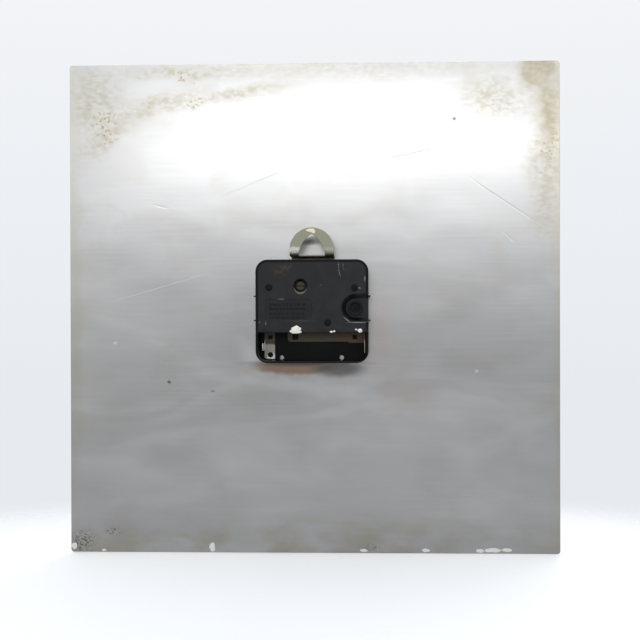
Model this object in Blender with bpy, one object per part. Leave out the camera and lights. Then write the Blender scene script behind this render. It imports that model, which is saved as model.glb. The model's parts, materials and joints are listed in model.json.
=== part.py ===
"""A service station advertising clock: a square sheet aluminium dial plate with a quartz movement behind it.

Frame: +Z up, the dial faces -Y and the wall is at y = 0. The origin is where the wall nail bears, at the top
of the hanger's opening. Lengths in this file are millimetres, and become metres as each mesh is made.
"""

import math

import bmesh
import bpy
from mathutils import Matrix

MM = 0.001

# Plate and where the hands' axis lies below the nail
PLATE_SIDE = 250.0
PLATE_THICK = 1.0
PLATE_CORNER = 1.5
AXIS_Z = -36.4

# Depths, from the wall at y = 0 towards the dial
COVER_BACK = -0.7
COVER_FRONT = -2.2
CASE_RIM = -2.3
CASE_FLOOR = -15.5
CASE_FRONT = -16.7
HANGER_THICK = 0.8
HANGER_BASE = -17.2
RUBBER = (-18.7, -17.7)
PLATE_BACK = -18.8
WASHER = (-20.4, -19.9)
NUT = (-23.0, -20.5)
BUSH_END = -24.5

# Movement case, as heights above the hands' axis
CASE_HALF = 28.0
CASE_TOP = 24.05
CASE_BOTTOM = -27.25
CASE_CORNER = 6.0
WALL = 1.2
CHAMBER = (-10.7, 22.8)
BAY = (-26.25, -11.7)
COVER_LOW = -12.16

# Hanger
HANGER_HALF = 11.0
HANGER_TOP = 3.4
HANGER_BEND = 2.6
HANGER_LEG = -10.2

# Hands and the time they show
BUSH_R = 3.9
PIPE_R = 2.5
ARBOR_R = 1.6
PIN_R = 0.35
HOUR, MINUTE, SECOND = 10, 9, 36
HOUR_LENGTH = 62.0
MINUTE_LENGTH = 90.0
SECOND_LENGTH = 94.0

# Gear train: teeth, module, and arbor positions as (x, height above the hands' axis)
THIRD_AT = (6.9, -1.4)
INTER_AT = (-3.96, 6.01)
ROTOR_AT = (-6.76, 10.86)
MINUTE_WHEEL_AT = (-9.727, 2.322)
KNOB_AT = (-21.5, 0.0)
DISH_MOUTH = 6.9
DISH_FLOOR = 5.1
TRIMMER_AT = (5.7, 11.0)
MOTION_MODULE = 0.5
ROTOR_MODULE = 0.2
SECOND_MODULE = 0.3
THIRD_MODULE = 2 * math.hypot(*THIRD_AT) / (60 + 8)
CENTRE_MODULE = 2 * math.hypot(*THIRD_AT) / (64 + 8)

# Layers of the train
HOUR_LAYER = (-15.0, -14.3)
MINUTE_LAYER = (-14.0, -13.3)
MIDDLE_PLATE = (-13.0, -12.2)
CENTRE_LAYER = (-11.9, -11.2)
THIRD_LAYER = (-10.5, -9.8)
SECOND_LAYER = (-9.1, -8.4)
INTER_LAYER = (-7.7, -7.0)
CORE_LAYER = (-6.9, -6.2)
STATOR_LAYER = (-6.1, -5.4)
MAGNET_LAYER = (-6.5, -5.0)
BRIDGE = (-4.4, -3.4)
BOARD = (-7.0, -6.2)

# Posts moulded on the case floor, as (x, height)
POST_A = (21.3, 9.97)
POST_B = (-21.1, 9.75)
POST_C = (-7.77, -7.5)
PILLAR_D = (12.0, 5.0)
PILLAR_E = (0.4, 13.4)
PILLAR_F = (23.0, -6.6)

COLOURS = {
    "aluminium": ((0.56, 0.55, 0.52), 0.35, 1.0),
    "zinc": ((0.36, 0.35, 0.29), 0.42, 1.0),
    "black": ((0.018, 0.018, 0.019), 0.42, 0.0),
    "beige": ((0.42, 0.33, 0.21), 0.5, 0.0),
    "white": ((0.78, 0.77, 0.72), 0.45, 0.0),
    "natural": ((0.70, 0.66, 0.55), 0.5, 0.0),
    "brass": ((0.72, 0.53, 0.24), 0.3, 1.0),
    "steel": ((0.55, 0.55, 0.54), 0.3, 1.0),
    "tinned": ((0.47, 0.44, 0.35), 0.4, 1.0),
    "copper": ((0.62, 0.24, 0.11), 0.35, 1.0),
    "board": ((0.30, 0.20, 0.09), 0.55, 0.0),
    "rubber": ((0.02, 0.02, 0.02), 0.8, 0.0),
    "magnet": ((0.08, 0.08, 0.09), 0.5, 0.3),
    "hand_black": ((0.012, 0.012, 0.012), 0.35, 0.0),
    "hand_red": ((0.55, 0.02, 0.015), 0.35, 0.0),
}


def material(name):
    made = bpy.data.materials.get(name)
    if made is None:
        colour, roughness, metallic = COLOURS[name]
        made = bpy.data.materials.new(name)
        made.use_nodes = True
        shader = made.node_tree.nodes["Principled BSDF"]
        shader.inputs["Base Color"].default_value = (*colour, 1.0)
        shader.inputs["Roughness"].default_value = roughness
        shader.inputs["Metallic"].default_value = metallic
        made.diffuse_color = (*colour, 1.0)
    return made


# Outlines: lists of (x, z) running anticlockwise as the dial is read, from -Y


def circle(x, z, radius, count=24, start=0.0):
    turns = [start + 2 * math.pi * i / count for i in range(count)]
    return [(x + radius * math.cos(turn), z + radius * math.sin(turn)) for turn in turns]


def arc(x, z, radius, begin, end, count):
    turns = [math.radians(begin + (end - begin) * i / count) for i in range(count + 1)]
    return [(x + radius * math.cos(turn), z + radius * math.sin(turn)) for turn in turns]


def rounded(x0, x1, z0, z1, radius, count=4):
    """A rectangle with rounded corners: one radius, or four from (x0, z0) round through (x1, z0)."""
    radii = radius if isinstance(radius, tuple) else (radius,) * 4
    corners = ((x0, z0, 1, 1, 180), (x1, z0, -1, 1, 270), (x1, z1, -1, -1, 0), (x0, z1, 1, -1, 90))
    points = []
    for (x, z, sx, sz, begin), r in zip(corners, radii):
        points += arc(x + sx * r, z + sz * r, r, begin, begin + 90, count) if r else [(x, z)]
    return points


def gear_outline(teeth, module, phase, pointed=False):
    """Straight-flanked teeth, thin enough at the pitch circle to leave a clock wheel's backlash."""
    pitch = 2 * math.pi / teeth
    inner = (teeth / 2 - 1.1) * module
    outer = (teeth / 2 + 0.8) * module
    shape = ((inner, -0.29), (outer, 0.0), (inner, 0.29)) if pointed else (
        (inner, -0.29), (outer, -0.1), (outer, 0.1), (inner, 0.29))
    return [
        (radius * math.cos(phase + pitch * (i + share)), radius * math.sin(phase + pitch * (i + share)))
        for i in range(teeth)
        for radius, share in shape
    ]


def bearing(a, b):
    return math.atan2(b[1] - a[1], b[0] - a[0])


def meshing(own, other, driver_phase, angle):
    """The phase of the gear at the far end of the line at this angle, whose driver has driver_phase."""
    return angle + math.pi + math.pi / own - other / own * (driver_phase - angle)


# Closed shapes, in millimetres


def loft(levels):
    """Outlines of the same number of points, each at its own y, joined into one solid."""
    mesh = bmesh.new()
    rows = [[mesh.verts.new((x, y, z)) for x, z in points] for y, points in levels]
    for low, high in zip(rows, rows[1:]):
        for i in range(len(low)):
            j = (i + 1) % len(low)
            mesh.faces.new((low[i], low[j], high[j], high[i]))
    mesh.faces.new(rows[0])
    mesh.faces.new(rows[-1])
    bmesh.ops.recalc_face_normals(mesh, faces=mesh.faces)
    return mesh


def prism(points, y0, y1, at=(0.0, 0.0)):
    """The outline extruded along Y."""
    mesh = bmesh.new()
    base = [mesh.verts.new((x + at[0], y0, z + at[1])) for x, z in points]
    face = mesh.faces.new(base)
    moved = bmesh.ops.extrude_face_region(mesh, geom=[face])["geom"]
    corners = [v for v in moved if isinstance(v, bmesh.types.BMVert)]
    bmesh.ops.translate(mesh, vec=(0, y1 - y0, 0), verts=corners)
    bmesh.ops.recalc_face_normals(mesh, faces=mesh.faces)
    return mesh


def turned(profile, x, z, count=24):
    """A profile of (y, radius) turned about an axis along Y: capped at its ends, so that it is a solid."""
    return loft([(y, circle(x, z, radius, count)) for y, radius in profile])


def tube(y0, y1, outer, inner, x, z, count=24):
    return ring_of([(y0, outer), (y1, outer), (y1, inner), (y0, inner)], x, z, count)


def ring_of(section, x, z, count=24):
    """A closed section of (y, radius) turned about an axis along Y."""
    mesh = bmesh.new()
    rings = []
    for y, radius in section:
        rings.append([mesh.verts.new((px, y, pz)) for px, pz in circle(x, z, radius, count)])
    for low, high in zip(rings, rings[1:] + rings[:1]):
        for i in range(count):
            j = (i + 1) % count
            mesh.faces.new((low[i], low[j], high[j], high[i]))
    bmesh.ops.recalc_face_normals(mesh, faces=mesh.faces)
    return mesh


def slab(points, z0, z1):
    """An outline of (x, y) extruded along Z."""
    mesh = bmesh.new()
    face = mesh.faces.new([mesh.verts.new((x, y, z0)) for x, y in points])
    moved = bmesh.ops.extrude_face_region(mesh, geom=[face])["geom"]
    corners = [v for v in moved if isinstance(v, bmesh.types.BMVert)]
    bmesh.ops.translate(mesh, vec=(0, 0, z1 - z0), verts=corners)
    bmesh.ops.recalc_face_normals(mesh, faces=mesh.faces)
    return mesh


def block(x0, x1, y0, y1, z0, z1):
    return prism([(x0, z0), (x1, z0), (x1, z1), (x0, z1)], y0, y1)


def cylinder_x(x0, x1, y, z, radius, count=24):
    """A round bar along X."""
    mesh = turned([(x0, radius), (x1, radius)], 0, 0, count)
    across = Matrix(((0, 1, 0, 0), (1, 0, 0, y), (0, 0, 1, z), (0, 0, 0, 1)))
    bmesh.ops.transform(mesh, matrix=across, verts=mesh.verts)
    bmesh.ops.recalc_face_normals(mesh, faces=mesh.faces)
    return mesh


def together(*shapes):
    """Shapes that don't touch, as one mesh."""
    held = bpy.data.meshes.new("held")
    whole = bmesh.new()
    for shape in shapes:
        shape.to_mesh(held)
        whole.from_mesh(held)
        shape.free()
    bpy.data.meshes.remove(held)
    return whole


def axis_mesh(name, shape, axis):
    """A mesh in metres whose own origin is at the axis."""
    bmesh.ops.translate(shape, vec=(-axis[0], 0, -axis[1]), verts=shape.verts)
    bmesh.ops.scale(shape, vec=(MM, MM, MM), verts=shape.verts)
    mesh = bpy.data.meshes.new(name)
    shape.to_mesh(mesh)
    shape.free()
    return mesh


def node(name, colour, shape, join=(), cut=(), keep=(), add=(), axis=(0.0, 0.0)):
    """One named solid: its base shape, with shapes joined, cut away, kept in common with it, then added."""
    obj = bpy.data.objects.new(name, axis_mesh(name, shape, axis))
    bpy.context.scene.collection.objects.link(obj)
    obj.location = (axis[0] * MM, 0.0, axis[1] * MM)
    steps = [("UNION", s) for s in join] + [("DIFFERENCE", s) for s in cut]
    steps += [("INTERSECT", s) for s in keep] + [("UNION", s) for s in add]
    helpers = []
    for number, (operation, other) in enumerate(steps):
        helper_mesh = axis_mesh("helper", other, (0.0, 0.0))
        helper = bpy.data.objects.new(f"{name}_{operation.lower()}_{number}", helper_mesh)
        bpy.context.scene.collection.objects.link(helper)
        helper.hide_render = True
        helper.display_type = "WIRE"
        modifier = obj.modifiers.new(helper.name, "BOOLEAN")
        modifier.operation = operation
        modifier.solver = "EXACT"
        modifier.object = helper
        helpers.append(helper)
    if helpers:
        bpy.context.view_layer.update()
        graph = bpy.context.evaluated_depsgraph_get()
        solid = bpy.data.meshes.new_from_object(obj.evaluated_get(graph), depsgraph=graph)
        solid.name = name
        obj.modifiers.clear()
        obj.data = solid
        for helper in helpers:
            bpy.data.objects.remove(helper, do_unlink=True)
    obj.data.materials.clear()
    obj.data.materials.append(material(colour))
    obj.data.shade_smooth()
    obj.data.set_sharp_from_angle(angle=math.radians(32))
    return obj


def at(place):
    """A place given from the hands' axis, as (x, z) from the nail."""
    return place[0], place[1] + AXIS_Z


# The plate, and what clamps the movement to it


def plate_and_fixings():
    half = PLATE_SIDE / 2
    outline = rounded(-half, half, AXIS_Z - half, AXIS_Z + half, PLATE_CORNER)
    node("dial_plate", "aluminium", prism(outline, PLATE_BACK - PLATE_THICK, PLATE_BACK),
         cut=[prism(circle(0, AXIS_Z, BUSH_R + 0.25), PLATE_BACK - 2, PLATE_BACK + 1)])
    node("rubber_washer", "rubber", tube(*RUBBER, 9.0, BUSH_R + 0.2, 0, AXIS_Z, 32))
    node("brass_washer", "brass", tube(*WASHER, 7.0, BUSH_R + 0.15, 0, AXIS_Z, 32))
    flats = 12.0
    chamfer = turned(
        [(NUT[0] - 0.5, 5.7), (NUT[0], 6.1), (NUT[0] + 0.5, 7.2), (NUT[1] - 0.4, 7.2), (NUT[1] + 0.3, 5.6)],
        0, AXIS_Z, 36)
    node("hex_nut", "brass", prism(circle(0, AXIS_Z, flats / math.sqrt(3), 6), *NUT), keep=[chamfer],
         cut=[prism(circle(0, AXIS_Z, BUSH_R + 0.1), NUT[0] - 1, NUT[1] + 1)])
    bush = [(BUSH_END, BUSH_R - 0.35), (BUSH_END + 0.35, BUSH_R), (-15.4, BUSH_R), (-15.4, 5.4), (-15.1, 5.4),
            (-15.1, PIPE_R + 0.1), (BUSH_END, PIPE_R + 0.1)]
    node("shaft_bush", "brass", ring_of(bush, 0, AXIS_Z, 32))


def hanger():
    """A strip that runs down the wall, over the movement and down its front, with an arched nail hole."""
    half = HANGER_THICK / 2
    back = -half
    bend_y, bend_z = back - HANGER_BEND, HANGER_LEG + HANGER_BEND
    bend = [(bend_y + HANGER_BEND * math.cos(a), bend_z - HANGER_BEND * math.sin(a), a)
            for a in (math.radians(15 * i) for i in range(7))]
    tight = 1.0
    fold = [(HANGER_BASE + tight - tight * math.sin(a), HANGER_LEG - tight + tight * math.cos(a), a)
            for a in (math.radians(22.5 * i) for i in range(5))]
    centre = [(back, HANGER_TOP + 1, (1, 0))]
    centre += [(y, z, (math.cos(a), -math.sin(a))) for y, z, a in bend]
    centre += [(y, z, (-math.sin(a), math.cos(a))) for y, z, a in fold]
    centre += [(HANGER_BASE, AXIS_Z - 13.0, (-1, 0))]
    outside, inside = [], []
    for index, (y, z, (ny, nz)) in enumerate(centre):
        # The first bend's outer side faces the wall and the floor, the second one's faces up and the dial.
        side = 1 if index <= len(bend) else -1
        outside.append((y + side * half * ny, z + side * half * nz))
        inside.append((y - side * half * ny, z - side * half * nz))
    strip = bmesh.new()
    ends = [[strip.verts.new((x, y, z)) for y, z in outside + inside[::-1]]
            for x in (-HANGER_HALF - 1, HANGER_HALF + 1)]
    strip.faces.new(ends[0])
    strip.faces.new(ends[1])
    count = len(ends[0])
    for i in range(count):
        j = (i + 1) % count
        strip.faces.new((ends[0][i], ends[0][j], ends[1][j], ends[1][i]))
    bmesh.ops.recalc_face_normals(strip, faces=strip.faces)

    crown = HANGER_TOP - HANGER_HALF
    foot = AXIS_Z - 12.0
    corner = 3.0
    outline = arc(0, crown, HANGER_HALF, 0, 180, 20)
    outline += arc(-HANGER_HALF + corner, foot + corner, corner, 180, 270, 4)
    outline += arc(HANGER_HALF - corner, foot + corner, corner, 270, 360, 4)
    # The nail bears at the top of this arch, which is the origin.
    arch = [(6.5, -11.6), (6.45, -9.5), (6.1, -7.8), (5.5, -6.1), (4.8, -4.75), (3.9, -3.35), (2.8, -2.0),
            (1.7, -0.95), (0.85, -0.3)]
    opening = arch + [(0.35, 0.0), (-0.35, 0.0)] + [(-x, z) for x, z in arch[::-1]]
    node("hanger_bracket", "zinc", strip, keep=[prism(outline, -30, 5)],
         cut=[prism(opening, -4.8, 3), prism(circle(0, AXIS_Z, BUSH_R + 0.3), -20, -14)])


# The movement's case


def stepped(place, steps, top=(), count=16):
    """A post on the case floor: (radius, up to this depth) from the bottom, then the points of its top."""
    profile = []
    y = CASE_FLOOR - 0.6
    for radius, until in steps:
        profile += [(y, radius), (until, radius)]
        y = until
    return turned(profile + list(top), *at(place), count)


def front_case():
    top, bottom = AXIS_Z + CASE_TOP, AXIS_Z + CASE_BOTTOM
    inside = CASE_HALF - WALL
    low = AXIS_Z + CHAMBER[0]
    body = prism(rounded(-CASE_HALF, CASE_HALF, bottom, top, CASE_CORNER, 6), CASE_FRONT, COVER_BACK)
    chamber = prism(rounded(-inside, inside, low, AXIS_Z + CHAMBER[1], (0.8, 0.8, 4.8, 4.8)), CASE_FLOOR, 2)
    bay_outline = rounded(-inside, inside, AXIS_Z + BAY[0], AXIS_Z + BAY[1], (3.5, 3.5, 0.6, 0.6))
    bay = prism(bay_outline, CASE_FLOOR, 2)
    lid_room = block(-40, 40, CASE_RIM, 3, AXIS_Z + COVER_LOW - 0.1, 5)
    cup_room = prism(round_ended(DISH_MOUTH + 1.1, 31), -5.3, 1)
    slots = together(block(9.4, 11.8, CASE_FLOOR - 0.01, -14.9, low - 1.5, low + 0.5),
                     block(19.4, 22.1, CASE_FLOOR - 0.01, -14.9, low - 1.5, low + 0.5))
    holes = together(prism(circle(0, AXIS_Z, BUSH_R + 0.1), -18, -14),
                     prism(circle(16.0, AXIS_Z - 25.05, 1.15, 16), -18, -14),
                     prism(circle(-14.5, AXIS_Z - 25.05, 1.15, 16), -18, -14),
                     block(-17.3, -16.6, CASE_FLOOR - 0.5, -14, AXIS_Z - 25.9, AXIS_Z - 23.6))
    # The three long posts end in heads staked over the cover; the others carry the plates and the board.
    head = [(-1.3, 1.45), (-1.0, 1.45), (-1.0, 0.45), (-0.8, 0.35)]
    posts = together(
        stepped(POST_A, [(1.9, -7.1), (1.1, -1.3)], head, 14),
        stepped(POST_B, [(1.9, -6.2), (1.1, -1.3)], head, 14),
        stepped(POST_C, [(1.8, -13.1), (1.45, -4.5), (1.1, -1.3)], head, 14),
        stepped(PILLAR_D, [(1.8, -13.1), (1.2, -4.5), (0.7, -2.9)], count=12),
        stepped(PILLAR_E, [(1.8, -13.1), (1.15, -6.2), (0.9, -4.5), (0.55, -2.9)], count=12),
        stepped(PILLAR_F, [(1.5, -7.1), (0.7, -5.8)], count=12),
        stepped(MINUTE_WHEEL_AT, [(1.1, -15.15), (0.6, -12.4)], count=12),
        stepped(KNOB_AT, [(1.2, -14.2), (0.7, -13.1)], count=12),
    )
    stakes = together(*(
        block(x - w, x + w, CASE_FLOOR - 0.5, -14.75, AXIS_Z + z - h, AXIS_Z + z + h)
        for x, z, w, h in ((9.1, -14.5, 0.95, 1.3), (-21.1, -14.7, 0.7, 0.9), (21.7, -14.7, 0.75, 0.8))))
    # Ribs down the sides; below the knob's dish their roots stop short of the cup.
    ribs = []
    for height in (5.9, -6.15):
        z0, z1 = AXIS_Z + height - 0.3, AXIS_Z + height + 0.3
        ribs.append(block(27.5, 29.0, CASE_FRONT + 0.8, CASE_RIM - 0.3, z0, z1))
        profile = [(-27.5, CASE_FRONT + 0.8), (-27.5, -5.5), (-28.1, -5.5), (-28.1, CASE_RIM - 0.3),
                   (-29.0, CASE_RIM - 0.3), (-29.0, CASE_FRONT + 0.8)]
        ribs.append(slab(profile, z0, z1))
    node("front_case", "black", body, cut=[chamber, bay, lid_room, cup_room, slots, holes],
         add=[posts, stakes, together(*ribs)])


def round_ended(radius, edge):
    """The outline of the knob's dish: a half circle about the knob, and straight sides out to x = -edge."""
    x, z = at(KNOB_AT)
    return arc(x, z, radius, -90, 90, 18) + [(-edge, z + radius), (-edge, z - radius)]


def back_cover():
    radii = (0.4, 0.4, CASE_CORNER, CASE_CORNER)
    outline = rounded(-CASE_HALF, CASE_HALF, AXIS_Z + COVER_LOW, AXIS_Z + CASE_TOP, radii, 6)
    # The knob's dish is round on one side and runs straight out through the side of the cover on the other.
    x, z = at(KNOB_AT)
    cup = prism(round_ended(DISH_MOUTH + 1.0, CASE_HALF), -5.2, -1.5)
    slope = (DISH_MOUTH - DISH_FLOOR) / (COVER_BACK + 4.2)
    dish = loft([(-4.2, round_ended(DISH_FLOOR, 31)), (0.3, round_ended(DISH_FLOOR + slope * 4.5, 31))])
    spindle = prism(circle(x, z, 2.2, 20), -6, -3.5)
    places = [at(p) for p in (POST_A, POST_B, POST_C)]
    dimples = together(*(turned([(-1.4, 1.7), (COVER_BACK, 1.8), (0, 1.86)], *p, 20) for p in places))
    bores = together(*(prism(circle(*p, 1.2, 16), -3, -1.2) for p in places))
    trimmer = prism(circle(*at(TRIMMER_AT), 3.3, 28), -3, 1)
    label = block(0.2, 22.8, COVER_BACK - 0.3, 1, AXIS_Z - 6.28, AXIS_Z + 4.22)
    gate = prism(circle(-3.9, AXIS_Z + 11.4, 0.5, 10), -1.3, 0)
    node("back_cover", "black", prism(outline, COVER_FRONT, COVER_BACK), join=[cup],
         cut=[dish, spindle, dimples, bores, trimmer, label, gate])


# Battery contacts, pressed over the stakes on the bay's floor


def contacts():
    floor = (-15.4, -15.05)
    strip = [(-26.2, -17.6), (-18.0, -17.6), (-18.0, -17.0), *arc(11.4, -15.5, 1.5, 270, 360, 4),
             (12.9, -12.1), (11.6, -12.1), (11.6, -9.55), (9.6, -9.55), (9.6, -12.1), (-26.2, -12.1)]
    node("positive_contact", "tinned", prism(strip, *floor, at=(0, AXIS_Z)),
         cut=[block(9.1 - 1.45, 9.1 + 1.45, -16, -14, AXIS_Z - 16.0, AXIS_Z - 13.0),
              block(-21.1 - 1.0, -21.1 + 1.0, -16, -14, AXIS_Z - 15.8, AXIS_Z - 13.6)],
         add=[together(block(-26.25, -25.9, -15.41, -3.4, AXIS_Z - 22.3, AXIS_Z - 12.4),
                       block(9.61, 11.59, -15.3, -7.15, AXIS_Z - 9.9, AXIS_Z - 9.54))])
    strip = [(19.4, -25.7), (23.9, -25.7), (24.7, -24.9), (24.7, -21.2), (24.9, -21.2), (24.9, -17.6),
             (24.7, -17.6), (24.7, -12.2), (21.9, -12.2), (21.9, -9.55), (19.6, -9.55), (19.6, -12.2),
             (19.4, -12.2)]
    node("negative_contact", "tinned", prism(strip, *floor, at=(0, AXIS_Z)),
         cut=[block(21.7 - 1.1, 21.7 + 1.1, -16, -14, AXIS_Z - 15.7, AXIS_Z - 13.7),
              prism(circle(21.7, AXIS_Z - 23.6, 1.4, 16), -16, -14)],
         add=[together(block(24.65, 24.95, -15.41, -5.0, AXIS_Z - 21.19, AXIS_Z - 17.61),
                       block(19.61, 21.89, -15.3, -7.15, AXIS_Z - 9.9, AXIS_Z - 9.54))])


# The motor and its board


def bore(place, radius, y0, y1, count=12):
    return prism(circle(*at(place), radius, count), y0, y1)


def electronics():
    board = [(9.0, -10.2), (26.2, -10.2), (26.2, 14.6), (15.6, 14.6), (15.6, 13.9), (2.7, 13.9), (2.7, 8.2),
             (15.6, 8.2), (15.6, -6.4), (9.0, -6.4)]
    node("circuit_board", "board", prism(board, *BOARD, at=(0, AXIS_Z)),
         cut=[together(bore(POST_A, 1.2, -8, -5, 16), bore(PILLAR_F, 0.8, -8, -5))])
    chip = [(-6.1, 3.0), (-5.5, 2.9), (-5.1, 2.3), (-4.9, 1.2)]
    node("ic_chip", "black", turned(chip, *at((20.3, 2.8)), 20))
    node("quartz_crystal", "steel", cylinder_x(16.4, 22.4, -5.05, AXIS_Z - 2.9, 1.0, 16))
    x, z = at(TRIMMER_AT)
    node("trimmer_body", "white", ring_of([(-6.1, 2.8), (-5.1, 2.8), (-5.1, 0.7), (-6.1, 0.7)], x, z, 24))
    node("trimmer_screw", "beige",
         turned([(-5.8, 0.55), (-5.0, 0.55), (-5.0, 2.2), (-3.2, 2.2), (-3.0, 2.0)], x, z, 24),
         cut=[block(x - 3, x + 3, -3.7, -2.5, z - 0.35, z + 0.35)], axis=(x, z))

    coil_y, coil_z = -6.55, AXIS_Z + 18.8
    node("coil_core", "steel", block(-22.9, -1.1, *CORE_LAYER, coil_z - 1.2, coil_z + 1.2))
    flanges = together(*(cylinder_x(x, x + 0.8, coil_y, coil_z, 3.3) for x in (-20.5, -3.9)))
    node("coil_bobbin", "natural", cylinder_x(-20.5, -3.1, coil_y, coil_z, 2.0, 20), join=[flanges],
         cut=[block(-24, 0, coil_y - 0.5, coil_y + 0.5, coil_z - 1.4, coil_z + 1.4)])
    node("coil_winding", "copper", cylinder_x(-19.6, -4.0, coil_y, coil_z, 2.9),
         cut=[cylinder_x(-21, -2, coil_y, coil_z, 2.15, 20)])
    stator = [(-22.9, 7.8), (-19.2, 7.8), (-18.6, 10.4), (-11.8, 10.4), (-10.8, 7.2), (-2.8, 7.2),
              (-1.7, 11.7), (2.2, 11.7), (2.2, 15.0), (-1.1, 15.0), (-1.1, 20.4), (-2.9, 20.4), (-2.9, 14.8),
              (-20.7, 14.8), (-20.7, 20.4), (-22.9, 20.4)]
    holes = [(ROTOR_AT, 3.0), (POST_B, 1.2), (PILLAR_E, 1.0)]
    holes = together(*(bore(place, radius, -7, -5, 24) for place, radius in holes))
    node("stator_plate", "steel", prism(stator, *STATOR_LAYER, at=(0, AXIS_Z)), cut=[holes])
    x, z = at(ROTOR_AT)
    node("rotor_magnet", "magnet", tube(*MAGNET_LAYER, 2.6, 0.42, x, z, 24), axis=(x, z))


def train_plates():
    pins = [(THIRD_AT, 0.45), (INTER_AT, 0.45), (ROTOR_AT, 0.42)]
    middle = [(-9.5, -10.0), (-5.0, -10.2), (9.5, -4.6), (14.6, 3.0), (14.6, 7.4), (10.5, 8.2), (3.2, 15.6),
              (-2.2, 15.6), (-9.6, 13.6), (-13.0, 4.8), (-13.0, 0.0)]
    posts = [((0, 0), 2.6), (MINUTE_WHEEL_AT, 0.7), (POST_C, 1.55), (PILLAR_D, 1.3), (PILLAR_E, 1.25)]
    node("middle_plate", "natural", prism(middle, *MIDDLE_PLATE, at=(0, AXIS_Z)),
         cut=[together(*(bore(place, radius, -14, -11) for place, radius in pins + posts))])
    bridge = [(-10.0, -9.8), (-5.6, -9.8), (8.8, -4.4), (14.2, 2.6), (14.2, 7.2), (4.2, 7.2), (2.3, 9.2),
              (2.3, 15.0), (-1.6, 15.0), (-4.6, 13.4), (-9.2, 13.4), (-9.2, 8.6), (-5.6, 2.0), (-10.0, -5.2)]
    posts = [((0, 0), 0.45), (POST_C, 1.2), (PILLAR_D, 0.8), (PILLAR_E, 0.65)]
    node("train_bridge", "natural", prism(bridge, *BRIDGE, at=(0, AXIS_Z)),
         cut=[together(*(bore(place, radius, -5, -3) for place, radius in pins + posts))])


# The gear train


def wheel(teeth, module, phase, place, layer, pointed=False):
    return prism(gear_outline(teeth, module, phase, pointed), *layer, at=at(place))


def pin(place, radius, y0, y1, count=10):
    return prism(circle(*at(place), radius, count), y0, y1)


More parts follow.
